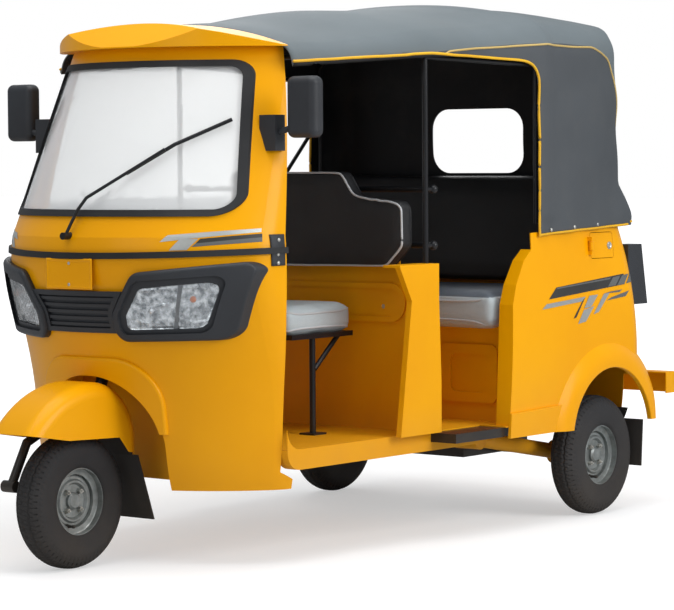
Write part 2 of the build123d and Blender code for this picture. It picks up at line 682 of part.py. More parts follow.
# ---------------------------------------------------------------- canopy
@lru_cache(maxsize=None)
def canopy_form(inset):
    wires = []
    for station, crown, radius, half, shoulder in CANOPY_BOWS:
        place = lambda u, v, s=station, c=crown: (u, at(s), c - inset - v)
        depth = crown - inset - CANOPY_BASE_Z
        wires.append(nose_wire(half - inset, radius - inset, shoulder - inset, depth, place))
    form = Solid.make_loft(wires, True)
    rear = CANOPY_REAR - inset
    top = CANOPY_REAR_TOP - inset
    profile = make_face(Polyline([
        (0, at(0), 900), (0, at(rear), 900), (0, at(rear), HEM_REAR_Z + 16), (0, at(rear - 82), 1135),
        (0, at(top), 1900), (0, at(0), 1900),
    ], close=True))
    form = form & extrude(profile, amount=900, dir=(1, 0, 0), both=True)
    plan = Pos(0, at(rear / 2 - 300)) * Rectangle(1300 - 2 * inset, rear + 600)
    corners = plan.vertices().sort_by(Axis.Y)[-2:]
    plan = fillet(corners, CANOPY_CORNER_R - inset)
    return form & Pos(0, 0, 800) * extrude(plan, amount=1100)


def make_canopy():
    skin = canopy_form(0) - canopy_form(VINYL)
    hem = hem_line(0)
    skin = skin - side_prism([(0, hem[0][1])] + hem + [(hem[2][0], 0), (0, 0)], -900, 900)
    for side, quarter in ((1, QUARTER_FRONT), (-1, RIGHT_QUARTER_FRONT)):
        below = [(s, z) for s, z in EAVE] + [(quarter, 1452), (quarter, 900), (0, 900), (0, 1525)]
        if side < 0:
            below = [(482, 1525), (1083, 1563), (1520, 1547), (1900, 1500), (quarter, 1400),
                     (quarter, 900), (0, 900), (0, 1525)]
        skin = skin - side_prism(below, 0, side * 900)
    window = Pos(0, (WINDOW_BASE_Z + WINDOW_TOP_Z) / 2) * RectangleRounded(
        2 * WINDOW_HALF, WINDOW_TOP_Z - WINDOW_BASE_Z, WINDOW_R)
    skin = skin - prism_y(window, at(1900), at(2500))
    roof = skin & box(-900, 900, 400, 2030, 1480, 1900)
    rest = skin - box(-900, 900, 400, 2030, 1480, 1900)
    save("canopy_roof", roof)
    rear_cut = box(-480, 480, 1990, 2500, 900, 1900)
    save("canopy_back", rest & rear_cut)
    rest = rest - rear_cut
    for side, name in ((1, "left"), (-1, "right")):
        save(f"canopy_side_{name}", rest & box(side * 1, side * 900, 1000, 2600, 900, 1900))


def bow(station, foot_x, foot_z, knee_z, shoulder, crown_z, radius):
    """Hoop from one body side over the roof to the other."""
    side = [(foot_x, station, foot_z), (foot_x, station, knee_z), (shoulder[0], station, shoulder[1])]
    return tube_run(side + [(0, station, crown_z)] + [(-x, s, z) for x, s, z in reversed(side)], radius)


def make_canopy_frame():
    frame = bow(POST_STATION, POST_X, PARTITION_TOP_Z + 8, 1560, (440, 1642), 1690, POST_R)
    for station in (1610, 1960):
        frame = frame + bow(station, RAIL_HALF, 1010, 1560, (500, 1660), 1720, POST_R)
    corner = [(POST_X, POST_STATION, 1556), (455, 516, 1540)]
    header = corner + [(-x, s, z) for x, s, z in reversed(corner)]
    frame = frame + tube_run(header, RAIL_R)
    for side in (-1, 1):
        frame = frame + tube_run([(side * POST_X, POST_STATION, 1552), (side * RAIL_HALF, 1610, 1536),
                                  (side * RAIL_HALF, 1960, 1500)], RAIL_R)
        frame = frame + rod((side * RAIL_HALF, 1610, 1030), (side * RAIL_HALF, 1960, 1380), RAIL_R - 1)
    for z in (1130, 950):
        bar = rod((-POST_X, 1140, z), (POST_X, 1140, z), RAIL_R + 2)
        for side in (-1, 1):
            bar = bar + Pos(side * POST_X, at(1140), z) * Sphere(15)
            bar = bar + rod((side * POST_X, POST_STATION, z), (side * POST_X, 1140, z), RAIL_R - 2)
        frame = frame + bar
    save("canopy_frame", frame)


# ---------------------------------------------------------------- seats
def soft_block(x0, x1, profile, radius):
    """Padded block with a rounded side profile of (station, z)."""
    block = side_prism(profile, x0, x1)
    return fillet(block.edges(), radius)


def make_seats():
    s0, s1, z0, z1 = DRIVER_SEAT_FRONT, DRIVER_SEAT_REAR, DRIVER_SEAT_BASE, DRIVER_SEAT_TOP
    save("driver_cushion", soft_block(-DRIVER_SEAT_HALF, DRIVER_SEAT_HALF,
                                      [(s0, z0), (s1, z0), (s1, z1), (s0, z1 - 8)], 22))
    back_front = DRIVER_SEAT_REAR - 40
    points = [(-250, 866), (425, 872), (492, 938), (492, 1090), (290, 1122), (235, 1200), (-250, 1200)]
    outline = fillet(make_face(Polyline(points, close=True)).vertices(), 24)
    back = prism_y(outline, at(DRIVER_SEAT_REAR + FIT), at(PARTITION_STATION - FIT))
    save("driver_backrest", back)
    frame = box(-DRIVER_SEAT_HALF + 10, DRIVER_SEAT_HALF - 10, s0 + 20, s1 - 10, z0 - 16 - FIT, z0 - FIT)
    for side in (-1, 1):
        x = side * (DRIVER_SEAT_HALF - 30)
        frame = frame + rod((x, 832, FLOOR_Z), (x, 832, z0 - 12), 10)
        frame = frame + rod((x, 842, 560), (x, 965, z0 - 12), 8)
        frame = frame + box(x - 30, x + 30, 800, 864, FLOOR_Z, FLOOR_Z + 6)
    save("driver_seat_frame", frame)
    s0, s1, z0, z1 = PASSENGER_SEAT_FRONT, PASSENGER_SEAT_REAR, PASSENGER_SEAT_BASE, PASSENGER_SEAT_TOP
    save("passenger_cushion", soft_block(-PASSENGER_SEAT_HALF, PASSENGER_SEAT_HALF,
                                         [(s0, z0 + FIT), (s1 - 30, z0 + FIT), (s1 - 10, z1), (s0, z1)], 25))
    low, high = z1 + FIT, BULKHEAD_TOP_Z
    foot, head = bulkhead_station(low), bulkhead_station(high)
    profile = [
        (foot - 82, low), (foot - FIT, low), (head - FIT, high), (head + 6, PASSENGER_BACK_TOP),
        (head - 48, PASSENGER_BACK_TOP), (head - 92, high + 15),
    ]
    save("passenger_backrest", soft_block(-PASSENGER_SEAT_HALF + 20, PASSENGER_SEAT_HALF - 20, profile, 16))


# ---------------------------------------------------------------- dashboard, steering, front wheel
def make_dashboard():
    """Tray with a raised rear lip, hollow below."""
    def tray(inset):
        return cab_solid(PANEL + inset) & side_prism([
            (0, 860 - inset), (170 - 1.5 * inset, 860 - inset), (205 - 1.5 * inset, 925 - inset),
            (205 - 1.5 * inset, 955 - 1.5 * inset), (0, 990 - 2 * inset),
        ], -480 + inset, 480 - inset)
    save("dashboard", tray(0) - tray(PANEL))


def make_steering():
    stem = steer_rod(STEM_R, 500, BAR_Z - 10)
    st = steer_point(BAR_Z)
    head = box(-70, 70, st - 45, st + 35, BAR_Z - 20, BAR_Z + 34)
    head = fillet(head.edges(), 12)
    bars = None
    for side in (-1, 1):
        run = tube_run([(0, st, BAR_Z), (side * 120, st, BAR_Z + 14),
                        (side * BAR_HALF, st + 90, BAR_Z + 14)], 11)
        grip = rod((side * 190, st + 33.2, BAR_Z + 14), (side * (BAR_HALF + 6), st + 92.8, BAR_Z + 14), 17)
        bars = run + grip if bars is None else bars + run + grip
    save("handlebar", stem + head + bars)
    crown = steer_rod(32, 440, 500)
    arm = tube_run([(0, steer_point(462), 462), (FORK_X, 62, 455), (FORK_X, -105, 385),
                    (FORK_X - 8, *LINK_PIVOT)], 14)
    knob = rod((FORK_X - 36, *LINK_PIVOT), (FORK_X + 14, *LINK_PIVOT), 18)
    link = rod((FORK_X - 8, *LINK_PIVOT), (FORK_X - 8, 0, TYRE_R), 13)
    stub = rod((FORK_X - 24, 0, TYRE_R), (-DRUM_W / 2 - 12 - FIT, 0, TYRE_R), 20)
    damper = rod((FORK_X - 8, -60, 224), (FORK_X, 34, 440), 13)
    axle = rod((FORK_X - 36, 0, TYRE_R), (14, 0, TYRE_R), AXLE_R)
    collar = (steer_rod(34, 490, 580) & mudguard_form(MUDGUARD_T + FIT)) - steer_rod(STEM_R + FIT, 500, 900)
    save("front_fork", crown + arm + knob + link + stub + damper + axle + collar)
    guard = (mudguard_form(0) - mudguard_form(MUDGUARD_T)) & mudguard_keep()
    save("front_mudguard", guard - steer_rod(STEM_R + FIT, 480, 620))
    lap = MUDGUARD_T + FIT
    face = MUDGUARD_TOP_STATION + MUDGUARD_REAR_R - lap
    flap = side_prism([(face - 6, 400), (face - 6, 330), (270, 126), (276, 126), (face, 330), (face, 400)],
                      -MUDGUARD_HALF + 4, MUDGUARD_HALF - 4)
    upper = box(-200, 200, 100, 300, 331, 420)
    save("front_mudflap", (flap - upper) + (flap & upper & mudguard_form(lap)))


@lru_cache(maxsize=None)
def mudguard_form(inset):
    """The front mudguard's outer form, drawn in by inset: a long front arc, then a quarter turn down."""
    front_r, rear_r, base = MUDGUARD_R - inset, MUDGUARD_REAR_R - inset, 280

    def on_arc(radius, full_radius, degrees):
        angle = math.radians(degrees)
        return (0, at(MUDGUARD_TOP_STATION) + radius * math.sin(angle),
                MUDGUARD_TOP_Z - full_radius + radius * math.cos(angle))
    start = on_arc(front_r, MUDGUARD_R, -56)
    top = on_arc(front_r, MUDGUARD_R, 0)
    rear = on_arc(rear_r, MUDGUARD_REAR_R, 90)
    rear_foot, front_foot = (0, rear[1], base), (0, start[1], base)
    edges = [
        ThreePointArc(start, on_arc(front_r, MUDGUARD_R, -28), top),
        ThreePointArc(top, on_arc(rear_r, MUDGUARD_REAR_R, 45), rear),
        Line(rear, rear_foot), Line(rear_foot, front_foot), Line(front_foot, start),
    ]
    form = extrude(make_face(edges), amount=MUDGUARD_HALF - inset, dir=(1, 0, 0), both=True)
    rounded = [e for e in form.edges() if e.geom_type == GeomType.CIRCLE]
    for edge in form.edges():
        middle = edge.center()
        if abs(middle.Y - rear[1]) < 0.01 and edge.length > 60 and abs(middle.X) > 1:
            rounded.append(edge)
    return fillet(rounded, MUDGUARD_CROWN_R - inset)


def mudguard_keep():
    """Side view of what is left above the mudguard's lower edge."""
    return side_prism([
        (-FRONT_OVERHANG, 700), (-FRONT_OVERHANG, 426), (-100, 400), (120, 392), (160, 345),
        (230, 332), (230, 700),
    ], -200, 200)


def both_sides(half_profile):
    """Closed wheel profile of (radius, axial) points from its half for axial > 0."""
    return half_profile + [(r, -a) for r, a in reversed(half_profile)]


def wheel_parts(x, station, outward, name):
    """Tyre, pressed wheel and drum turning about X; outward is +1 when the dish faces +X."""
    place = Plane((x, at(station), TYRE_R), x_dir=(0, 0, 1), z_dir=(outward, 0, 0))

    def turned(points):
        face = make_face(Polyline([(r, 0, a) for r, a in points], close=True))
        return place * revolve(face, Axis.Z, 360)
    half, t = TYRE_W / 2, RIM_T
    outside = [(203, 26), (196, half - 16), (176, half - 1), (150, half), (BEAD_R + 16, RIM_HALF - 4)]
    inside = [(BEAD_R, RIM_HALF - 6), (BEAD_R, RIM_HALF - 18), (BEAD_R + 24, RIM_HALF - 10),
              (160, half - 14), (190, 20)]
    save(f"{name}_tyre", turned([(TYRE_R, 0)] + both_sides(outside + inside)))
    outer = [(FLANGE_R, RIM_HALF), (FLANGE_R, RIM_HALF - t), (BEAD_R, RIM_HALF - 6 + t),
             (BEAD_R, RIM_HALF - 18), (WELL_R, 16)]
    inner = [(WELL_R - t, 18), (BEAD_R - t, RIM_HALF - 20), (BEAD_R - t, RIM_HALF)]
    barrel = outer + [(r, -a) for r, a in reversed(outer)] + [(r, -a) for r, a in reversed(inner)] + inner
    crest = [(HUB_R, 4), (50, 4), (56, 13), (62, 13), (67, 7), (74, 7), (WELL_R - t, 2)]
    wheel = turned(barrel) + turned(crest + [(r, a + DISC_T) for r, a in reversed(crest)])
    boss = Pos(0, 0, 3 + DISC_T) * Cone(NUT_BOSS_R, NUT_BOSS_R - 4, 6,
                                        align=(Align.CENTER, Align.CENTER, Align.MIN))
    for spot in PolarLocations(NUT_CIRCLE_R, 4, start_angle=45):
        wheel = wheel + place * (spot * boss)
    save(f"{name}_rim", wheel)
    bore, back, rim = AXLE_R + HINGE_CLEARANCE, -DRUM_W / 2 - 12, HUB_R - 0.2
    save(f"{name}_hub", turned([
        (bore, back), (DRUM_R - 8, back), (DRUM_R - 8, -18), (60, 1.9), (rim, 1.9), (rim, 16),
        (20, 22), (0, 22), (0, 18), (bore, 18),
    ]))


def make_wheels():
    wheel_parts(0, 0, 1, "front")
    wheel_parts(REAR_TRACK / 2, WHEELBASE, 1, "rear_left")
    wheel_parts(-REAR_TRACK / 2, WHEELBASE, -1, "rear_right")


# ---------------------------------------------------------------- running gear and rear end
def make_running_gear():
    save("engine_block", box(-ENGINE_HALF, ENGINE_HALF, 1760, 2150, 190, 560))
    shafts = []
    for side, name in ((1, "left"), (-1, "right")):
        x = side * 430
        arm = tube_run([(side * 400, 1500, 290), (x, 1560, 280), (x, WHEELBASE, TYRE_R)], 26)
        hub_x = side * (REAR_TRACK / 2 - DRUM_W / 2 - 13)
        arm = arm + rod((x - side * 20, WHEELBASE, TYRE_R), (hub_x, WHEELBASE, TYRE_R), 40)
        arm = arm + rod((x, WHEELBASE, TYRE_R), (side * (REAR_TRACK / 2 + 14), WHEELBASE, TYRE_R), AXLE_R)
        pivot = rod((side * 352, 1500, 290), (side * 450, 1500, 290), 34)
        save(f"trailing_arm_{name}", arm + pivot)
        shafts += rod((side * ENGINE_HALF, WHEELBASE, TYRE_R), (side * 404, WHEELBASE, TYRE_R), 14).solids()
    save("half_shafts", Compound(shafts))
    chassis = box(-460, 460, 1470, 1530, 324, FLOOR_Z - 4)
    for side in (-1, 1):
        chassis = chassis + box(side * RAIL_X, side * (RAIL_X + 50), 350, 2240, 300, FLOOR_Z - FLOOR_T)
        for station in (1800, 2080):
            chassis = chassis + box(side * ENGINE_HALF, side * RAIL_X, station, station + 40, 305, 340)
    chassis = chassis + box(-RAIL_X - 50, RAIL_X + 50, 2190, 2240, 300, FLOOR_Z - FLOOR_T)
    save("chassis_frame", chassis)


def make_rear_end():
    face = LENGTH / 2 - AXLE_Y
    bar = box(-FLARE_HALF + 6, FLARE_HALF - 6, face - 60, face, 395, 470)
    bar = bar - box(-FLARE_HALF + 10, FLARE_HALF - 10, face - 70, face - 4, 390, 466)
    for side in (-1, 1):
        arm = box(side * 300, side * 344, 2240, face - 4, 268, 306)
        arm = arm + box(side * 300, side * 344, face - 30, face - 4, 268, 462)
        bar = bar + arm
    save("rear_bumper", bar)
    lamps, flaps = [], []
    for side in (1, -1):
        lamp = side_prism([(2150, 715), (2274, 715), (2236, 925), (2150, 925)], side * 560, side * 618)
        lamps += (lamp - body_side(0)).solids()
        flap = side_prism([(2208, 350), (2214, 350), (2200, 150), (2194, 150)], side * 500, side * 640)
        upper = box(side * 400, side * 800, 2100, 2300, BODY_BASE_Z, 400)
        flaps += ((flap - upper) + (flap & upper & body_side(PANEL + FIT))).solids()
    save("tail_lamps", Compound(lamps))
    save("rear_mudflaps", Compound(flaps))


# ---------------------------------------------------------------- mirrors and wiper
def make_mirrors():
    mirrors = []
    for side in (1, -1):
        head = Pos(side * 590, at(413), 1385) * Box(112, 58, 184)
        head = fillet(head.edges(), 22)
        arm = rod((side * 470, 400, 1300), (side * 560, 405, 1330), 9)
        foot = box(side * 440, side * 502, 378, 424, 1255, 1363)
        mount = (foot + arm) - cab_solid(0)
        mirrors += (head + mount).solids()
    save("mirrors", Compound(mirrors))


def screen_station(x, z):
    """Station of the raked cab front at a front-view point."""
    low, high = CAB_UPPER
    share = (z - low[0]) / (high[0] - low[0])
    nose = low[1] + share * (high[1] - low[1])
    radius = low[2] + share * (high[2] - low[2])
    return nose + radius - math.sqrt(radius ** 2 - x ** 2)


def make_wiper():
    def over(x, z, lift):
        return (x, screen_station(x, z) - lift, z)
    arm = tube_run([over(0, WIPER_Z, 18), over(28, 1080, 30), over(52, 1118, 34), over(250, 1262, 24)], 5)
    boss = rod(over(0, WIPER_Z, 30), over(0, WIPER_Z, -8), 11) - cab_solid(0)
    blade = tube_run([over(150, 1190, 14), over(268, 1276, 16), over(386, 1350, 14)], 6)
    save("wiper", arm + boss + blade)


def main():
    make_cab()
    make_screen()
    make_visor()
    make_lamps()
    make_grille()
    make_moulding()
    make_floor()
    make_partition()
    make_quarters()
    make_steps()
    make_seat_box()
    make_canopy()
    make_canopy_frame()
    make_seats()
    make_dashboard()
    make_steering()
    make_wheels()
    make_running_gear()
    make_rear_end()
    make_mirrors()
    make_wiper()


main()
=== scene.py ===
# %% [markdown]
# # Dressing a three-wheeled auto rickshaw
#
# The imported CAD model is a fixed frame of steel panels, wheels and seats.
# This lesson gives it paint, cloth, rubber and glass, one piece at a time.
# Lengths are in metres, Z is up, and the rickshaw faces along -Y.

# %% Load the frame
import math

import bmesh
import bpy
import numpy as np
from mathutils import Matrix, Vector


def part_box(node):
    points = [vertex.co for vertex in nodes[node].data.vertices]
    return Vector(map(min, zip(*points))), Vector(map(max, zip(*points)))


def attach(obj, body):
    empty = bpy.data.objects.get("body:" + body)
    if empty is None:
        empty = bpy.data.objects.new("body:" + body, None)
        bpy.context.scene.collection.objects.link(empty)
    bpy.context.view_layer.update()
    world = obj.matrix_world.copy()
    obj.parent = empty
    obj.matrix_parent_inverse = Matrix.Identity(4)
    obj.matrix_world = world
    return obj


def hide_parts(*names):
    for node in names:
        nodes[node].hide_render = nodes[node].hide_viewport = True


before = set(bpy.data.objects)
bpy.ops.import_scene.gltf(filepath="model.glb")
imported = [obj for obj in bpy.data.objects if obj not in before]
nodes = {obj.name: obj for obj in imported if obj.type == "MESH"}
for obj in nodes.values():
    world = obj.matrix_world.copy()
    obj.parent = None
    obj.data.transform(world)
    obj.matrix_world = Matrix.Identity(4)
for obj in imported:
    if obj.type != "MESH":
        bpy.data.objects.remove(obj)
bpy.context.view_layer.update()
print("CAD nodes:", len(nodes))

# %% [markdown]
# Along the vehicle, places are easiest to read as distances behind the front
# axle. On a drawing these are called stations, so the script uses them too.

# %% Stations
FRONT_AXLE_Y = -1.070


def at(station):
    """y of a station: the front axle's y plus the distance behind it."""
    return FRONT_AXLE_Y + station


REAR_AXLE = 1.985
TYRE_RADIUS = 0.205
print("rear axle at y =", round(at(REAR_AXLE), 3))

# %% [markdown]
# New objects have to be linked to the scene, and pieces that come in pairs are
# told apart by the sign of x. Two small helpers do both.

# %% Helpers
def linked(name, data):
    """New object with this data, linked to the scene."""
    made = bpy.data.objects.new(name, data)
    bpy.context.scene.collection.objects.link(made)
    return made


def side_word(side):
    """Name of a side by the sign of its x."""
    return "left" if side > 0 else "right"

# %% [markdown]
# ## Camera
# A long lens from the front left corner keeps the sides nearly parallel. The
# camera stands 1.2 m above the floor and looks down by three degrees, so the
# roof and the floor both stay in view.

# %% Camera
def look_matrix(azimuth, pitch, roll, place):
    """Camera axes: forward from azimuth and pitch, then the picture turned by roll."""
    a, p, r = (math.radians(v) for v in (azimuth, pitch, roll))
    forward = Vector((-math.sin(a) * math.cos(p), math.cos(a) * math.cos(p), math.sin(p)))
    level = Vector((math.cos(a), math.sin(a), 0.0))
    upright = level.cross(forward)
    x_axis = level * math.cos(r) + upright * math.sin(r)
    y_axis = upright * math.cos(r) - level * math.sin(r)
    turn = Matrix((x_axis, y_axis, -forward)).transposed()
    return Matrix.Translation(place) @ turn.to_4x4()


camera_data = bpy.data.cameras.new("camera")
camera_data.lens = 146.5
camera_data.sensor_width = 36.0
camera = linked("camera", camera_data)
camera.matrix_world = look_matrix(38.56, -3.06, -0.40, (5.767, -7.006, 1.231))
bpy.context.scene.camera = camera
print("camera", tuple(round(v, 2) for v in camera.location))

# %% [markdown]
# ## Light
# A studio for vehicles is one very large soft lamp overhead, a second one at
# the side that faces the camera, and a pale room. The floor and the world are
# white only to the camera, so no extra light falls on the paint.

# %% Lamps
bpy.context.scene.view_settings.view_transform = "Standard"


def soft_lamp(name, place, target, size, power):
    """Square area lamp at place that points at target."""
    data = bpy.data.lights.new(name, "AREA")
    data.shape, data.size, data.energy = "SQUARE", size, power
    lamp = linked(name, data)
    lamp.location = place
    lamp.rotation_euler = (Vector(target) - Vector(place)).to_track_quat("-Z", "Y").to_euler()


soft_lamp("lamp_over", (0.6, -0.6, 5.2), (0.0, 0.0, 0.6), 4.5, 200)
soft_lamp("lamp_side", (6.0, 0.6, 3.2), (0.4, 0.3, 0.8), 3.2, 215)
soft_lamp("lamp_front", (0.5, -6.5, 2.6), (0.0, -0.6, 0.9), 3.0, 40)
soft_lamp("lamp_back", (-4.5, 4.5, 3.8), (0.0, 0.4, 0.9), 3.0, 70)

# %% World and floor
def white_to_camera(tree, mix_shader):
    """A mix shader shows its second input to camera rays and rays through glass only."""
    path = tree.nodes.new("ShaderNodeLightPath")
    seen = tree.nodes.new("ShaderNodeMath")
    seen.operation = "MAXIMUM"
    tree.links.new(path.outputs["Is Camera Ray"], seen.inputs[0])
    tree.links.new(path.outputs["Is Transmission Ray"], seen.inputs[1])
    tree.links.new(seen.outputs[0], mix_shader.inputs["Fac"])


world = bpy.data.worlds.new("room")
world.use_nodes = True
bpy.context.scene.world = world
tree = world.node_tree
tree.nodes.clear()
room = tree.nodes.new("ShaderNodeBackground")
room.inputs["Color"].default_value = (0.93, 0.96, 1.0, 1.0)
room.inputs["Strength"].default_value = 0.42
white = tree.nodes.new("ShaderNodeBackground")
white.inputs["Color"].default_value = (1.0, 1.0, 1.0, 1.0)
mix = tree.nodes.new("ShaderNodeMixShader")
white_to_camera(tree, mix)
tree.links.new(room.outputs[0], mix.inputs[1])
tree.links.new(white.outputs[0], mix.inputs[2])
tree.links.new(mix.outputs[0], tree.nodes.new("ShaderNodeOutputWorld").inputs["Surface"])

floor_material = bpy.data.materials.new("studio_floor")
floor_material.use_nodes = True
tree = floor_material.node_tree
shader = tree.nodes["Principled BSDF"]
shader.inputs["Base Color"].default_value = (0.60, 0.60, 0.60, 1.0)
shader.inputs["Roughness"].default_value = 0.85
shader.inputs["Specular IOR Level"].default_value = 0.1
shader.inputs["Emission Color"].default_value = (1.0, 1.0, 1.0, 1.0)
path = tree.nodes.new("ShaderNodeLightPath")
spot = tree.nodes.new("ShaderNodeNewGeometry")
away = tree.nodes.new("ShaderNodeVectorMath")
away.operation = "LENGTH"
tree.links.new(spot.outputs["Position"], away.inputs[0])
rise = tree.nodes.new("ShaderNodeMapRange")
for label, value in (("From Min", 1.6), ("From Max", 7.0), ("To Min", 0.46), ("To Max", 1.0)):
    rise.inputs[label].default_value = value
tree.links.new(away.outputs["Value"], rise.inputs["Value"])
lift = tree.nodes.new("ShaderNodeMath")
lift.operation = "MULTIPLY"
tree.links.new(path.outputs["Is Camera Ray"], lift.inputs[0])
tree.links.new(rise.outputs[0], lift.inputs[1])
tree.links.new(lift.outputs[0], shader.inputs["Emission Strength"])

floor_mesh = bpy.data.meshes.new("floor")
edge = 60.0
floor_mesh.from_pydata([(-edge, -edge, 0), (edge, -edge, 0), (edge, edge, 0), (-edge, edge, 0)], [], [(0, 1, 2, 3)])
floor_mesh.materials.append(floor_material)
floor = linked("floor", floor_mesh)
print("floor", 2 * edge, "m wide")

# %% [markdown]
# ## Shared surface effects
# Paint, rubber and vinyl all need the same few effects: dust that settles
# low down, a fine ripple or grain, and a slow change of tone. Each effect is
# a node group with named sockets, built once and placed in many materials.

# %% Node helpers
def srgb(red, green, blue):
    """Linear RGBA of a colour read as 0-255 screen values."""
    c = np.array([red, green, blue]) / 255.0
    linear = np.where(c <= 0.04045, c / 12.92, ((c + 0.055) / 1.055) ** 2.4)
    return (*linear.tolist(), 1.0)


def new_group(name, inputs, outputs):
    """Empty shader group with its input and output nodes."""
    group = bpy.data.node_groups.new(name, "ShaderNodeTree")
    kinds = {"colour": "NodeSocketColor", "value": "NodeSocketFloat", "vector": "NodeSocketVector"}
    for label, kind, default in inputs:
        socket = group.interface.new_socket(label, in_out="INPUT", socket_type=kinds[kind])
        socket.default_value = default
    for label, kind in outputs:
        group.interface.new_socket(label, in_out="OUTPUT", socket_type=kinds[kind])
    return group, group.nodes.new("NodeGroupInput"), group.nodes.new("NodeGroupOutput")


def add(tree, kind, **settings):
    """New node; settings are its properties, or values for sockets named in_NUMBER."""
    node = tree.nodes.new("ShaderNode" + kind)
    for key, value in settings.items():
        if key.startswith("in_"):
            node.inputs[int(key[3:])].default_value = value
        else:
            setattr(node, key, value)
    return node


def math_node(tree, operation, first, second=None, clamp=False):
    """Maths on two outputs or numbers; returns the result's socket."""
    node = add(tree, "Math", operation=operation, use_clamp=clamp)
    for slot, value in enumerate((first, second)):
        if isinstance(value, (int, float)):
            node.inputs[slot].default_value = value
        elif value is not None:
            tree.links.new(value, node.inputs[slot])
    return node.outputs[0]


def mix_colour(tree, mask, low, high):
    """Blend two colours, each an output or an RGBA value, by a mask."""
    node = add(tree, "Mix", data_type="RGBA")
    tree.links.new(mask, node.inputs["Factor"])
    for slot, value in ((6, low), (7, high)):
        if isinstance(value, tuple):
            node.inputs[slot].default_value = value
        else:
            tree.links.new(value, node.inputs[slot])
    return node.outputs[2]


def noise(tree, vector, scale, detail=3.0, rough=0.5):
    """Fractal noise value on a vector; scale is a number or an output."""
    node = add(tree, "TexNoise")
    node.inputs["Detail"].default_value = detail
    node.inputs["Roughness"].default_value = rough
    tree.links.new(vector, node.inputs["Vector"])
    if isinstance(scale, (int, float)):
        node.inputs["Scale"].default_value = scale
    else:
        tree.links.new(scale, node.inputs["Scale"])
    return node.outputs["Fac"]


print("node helpers ready")

# %% [markdown]
# Road dust is thickest near the ground and patchy higher up. The mask falls
# with height, and noise breaks its edge so that it never looks like a line.

# %% Group: road dust
group, source, result = new_group(
    "road_dust",
    [("Colour", "colour", (0.5, 0.5, 0.5, 1.0)), ("Dust", "colour", srgb(150, 128, 98)),
     ("Reach", "value", 0.45), ("Amount", "value", 0.3)],
    [("Colour", "colour"), ("Mask", "value")])
place = add(group, "TexCoord").outputs["Object"]
height = add(group, "SeparateXYZ")
group.links.new(place, height.inputs[0])
low = add(group, "MapRange")
low.inputs["From Min"].default_value = 0.0
low.inputs["To Min"].default_value, low.inputs["To Max"].default_value = 1.0, 0.0
group.links.new(height.outputs["Z"], low.inputs["Value"])
group.links.new(source.outputs["Reach"], low.inputs["From Max"])
patch = math_node(group, "MULTIPLY", noise(group, place, 7.0, 6.0, 0.62), 1.5)
mask = math_node(group, "MULTIPLY", low.outputs[0], patch)
mask = math_node(group, "MULTIPLY", mask, source.outputs["Amount"], clamp=True)
group.links.new(mix_colour(group, mask, source.outputs["Colour"], source.outputs["Dust"]), result.inputs["Colour"])
group.links.new(mask, result.inputs["Mask"])
road_dust = group

# %% [markdown]
# A slow drift of tone keeps a big panel from looking printed. The group mixes
# a lighter and a darker version of one colour by very broad noise.

# %% Group: tone drift
group, source, result = new_group(
    "tone_drift",
    [("Light", "colour", (0.8, 0.8, 0.8, 1.0)), ("Dark", "colour", (0.6, 0.6, 0.6, 1.0)), ("Scale", "value", 2.0)],
    [("Colour", "colour"), ("Mask", "value")])
place = add(group, "TexCoord").outputs["Object"]
drift = noise(group, place, source.outputs["Scale"], 4.0, 0.55)
ramp = add(group, "MapRange")
for label, value in (("From Min", 0.35), ("From Max", 0.65)):
    ramp.inputs[label].default_value = value
group.links.new(drift, ramp.inputs["Value"])
blend = mix_colour(group, ramp.outputs[0], source.outputs["Light"], source.outputs["Dark"])
group.links.new(blend, result.inputs["Colour"])
group.links.new(ramp.outputs[0], result.inputs["Mask"])
tone_drift = group

# %% [markdown]
# Coated cloth and moulded plastic both have a pebbled skin: small cells with
# soft grooves between them. A Voronoi pattern's distance to the cell edge
# gives the grooves, and noise makes the cells uneven.

# %% Group: pebble grain
group, source, result = new_group(
    "pebble_grain", [("Scale", "value", 400.0), ("Groove", "value", 0.12)], [("Height", "value"), ("Groove", "value")])
place = add(group, "TexCoord").outputs["Object"]
cells = add(group, "TexVoronoi", feature="DISTANCE_TO_EDGE")
group.links.new(place, cells.inputs["Vector"])
group.links.new(source.outputs["Scale"], cells.inputs["Scale"])
ramp = add(group, "MapRange", interpolation_type="SMOOTHSTEP")
group.links.new(cells.outputs["Distance"], ramp.inputs["Value"])
group.links.new(source.outputs["Groove"], ramp.inputs["From Max"])
fine = math_node(group, "MULTIPLY", noise(group, place, 900.0, 2.0), 0.35)
group.links.new(math_node(group, "ADD", ramp.outputs[0], fine), result.inputs["Height"])
group.links.new(math_node(group, "SUBTRACT", 1.0, ramp.outputs[0]), result.inputs["Groove"])
pebble_grain = group
print("groups:", [g.name for g in bpy.data.node_groups])

# %% [markdown]
# ## Paint
# Body enamel is a smooth coloured coat with a faint ripple, called orange
# peel, under a clear gloss. A Principled shader with a thin coat shows that,
# and the dust group dulls the lower panels the way a dry road does.

# %% Painted metal
def new_material(name):
    """Empty node material with a Principled shader; returns material, tree and shader."""
    made = bpy.data.materials.new(name)
    made.use_nodes = True
    return made, made.node_tree, made.node_tree.nodes["Principled BSDF"]


def place_group(tree, group, **values):
    """Copy of a shader group in a material, with some sockets set."""
    node = tree.nodes.new("ShaderNodeGroup")
    node.node_tree = group
    for label, value in values.items():
        node.inputs[label].default_value = value
    return node


def bump(tree, shader, height, strength, distance):
    """Bump node between a height output and the shader's normal."""
    node = add(tree, "Bump")
    node.inputs["Strength"].default_value = strength
    node.inputs["Distance"].default_value = distance
    tree.links.new(height, node.inputs["Height"])
    tree.links.new(node.outputs[0], shader.inputs["Normal"])
    return node


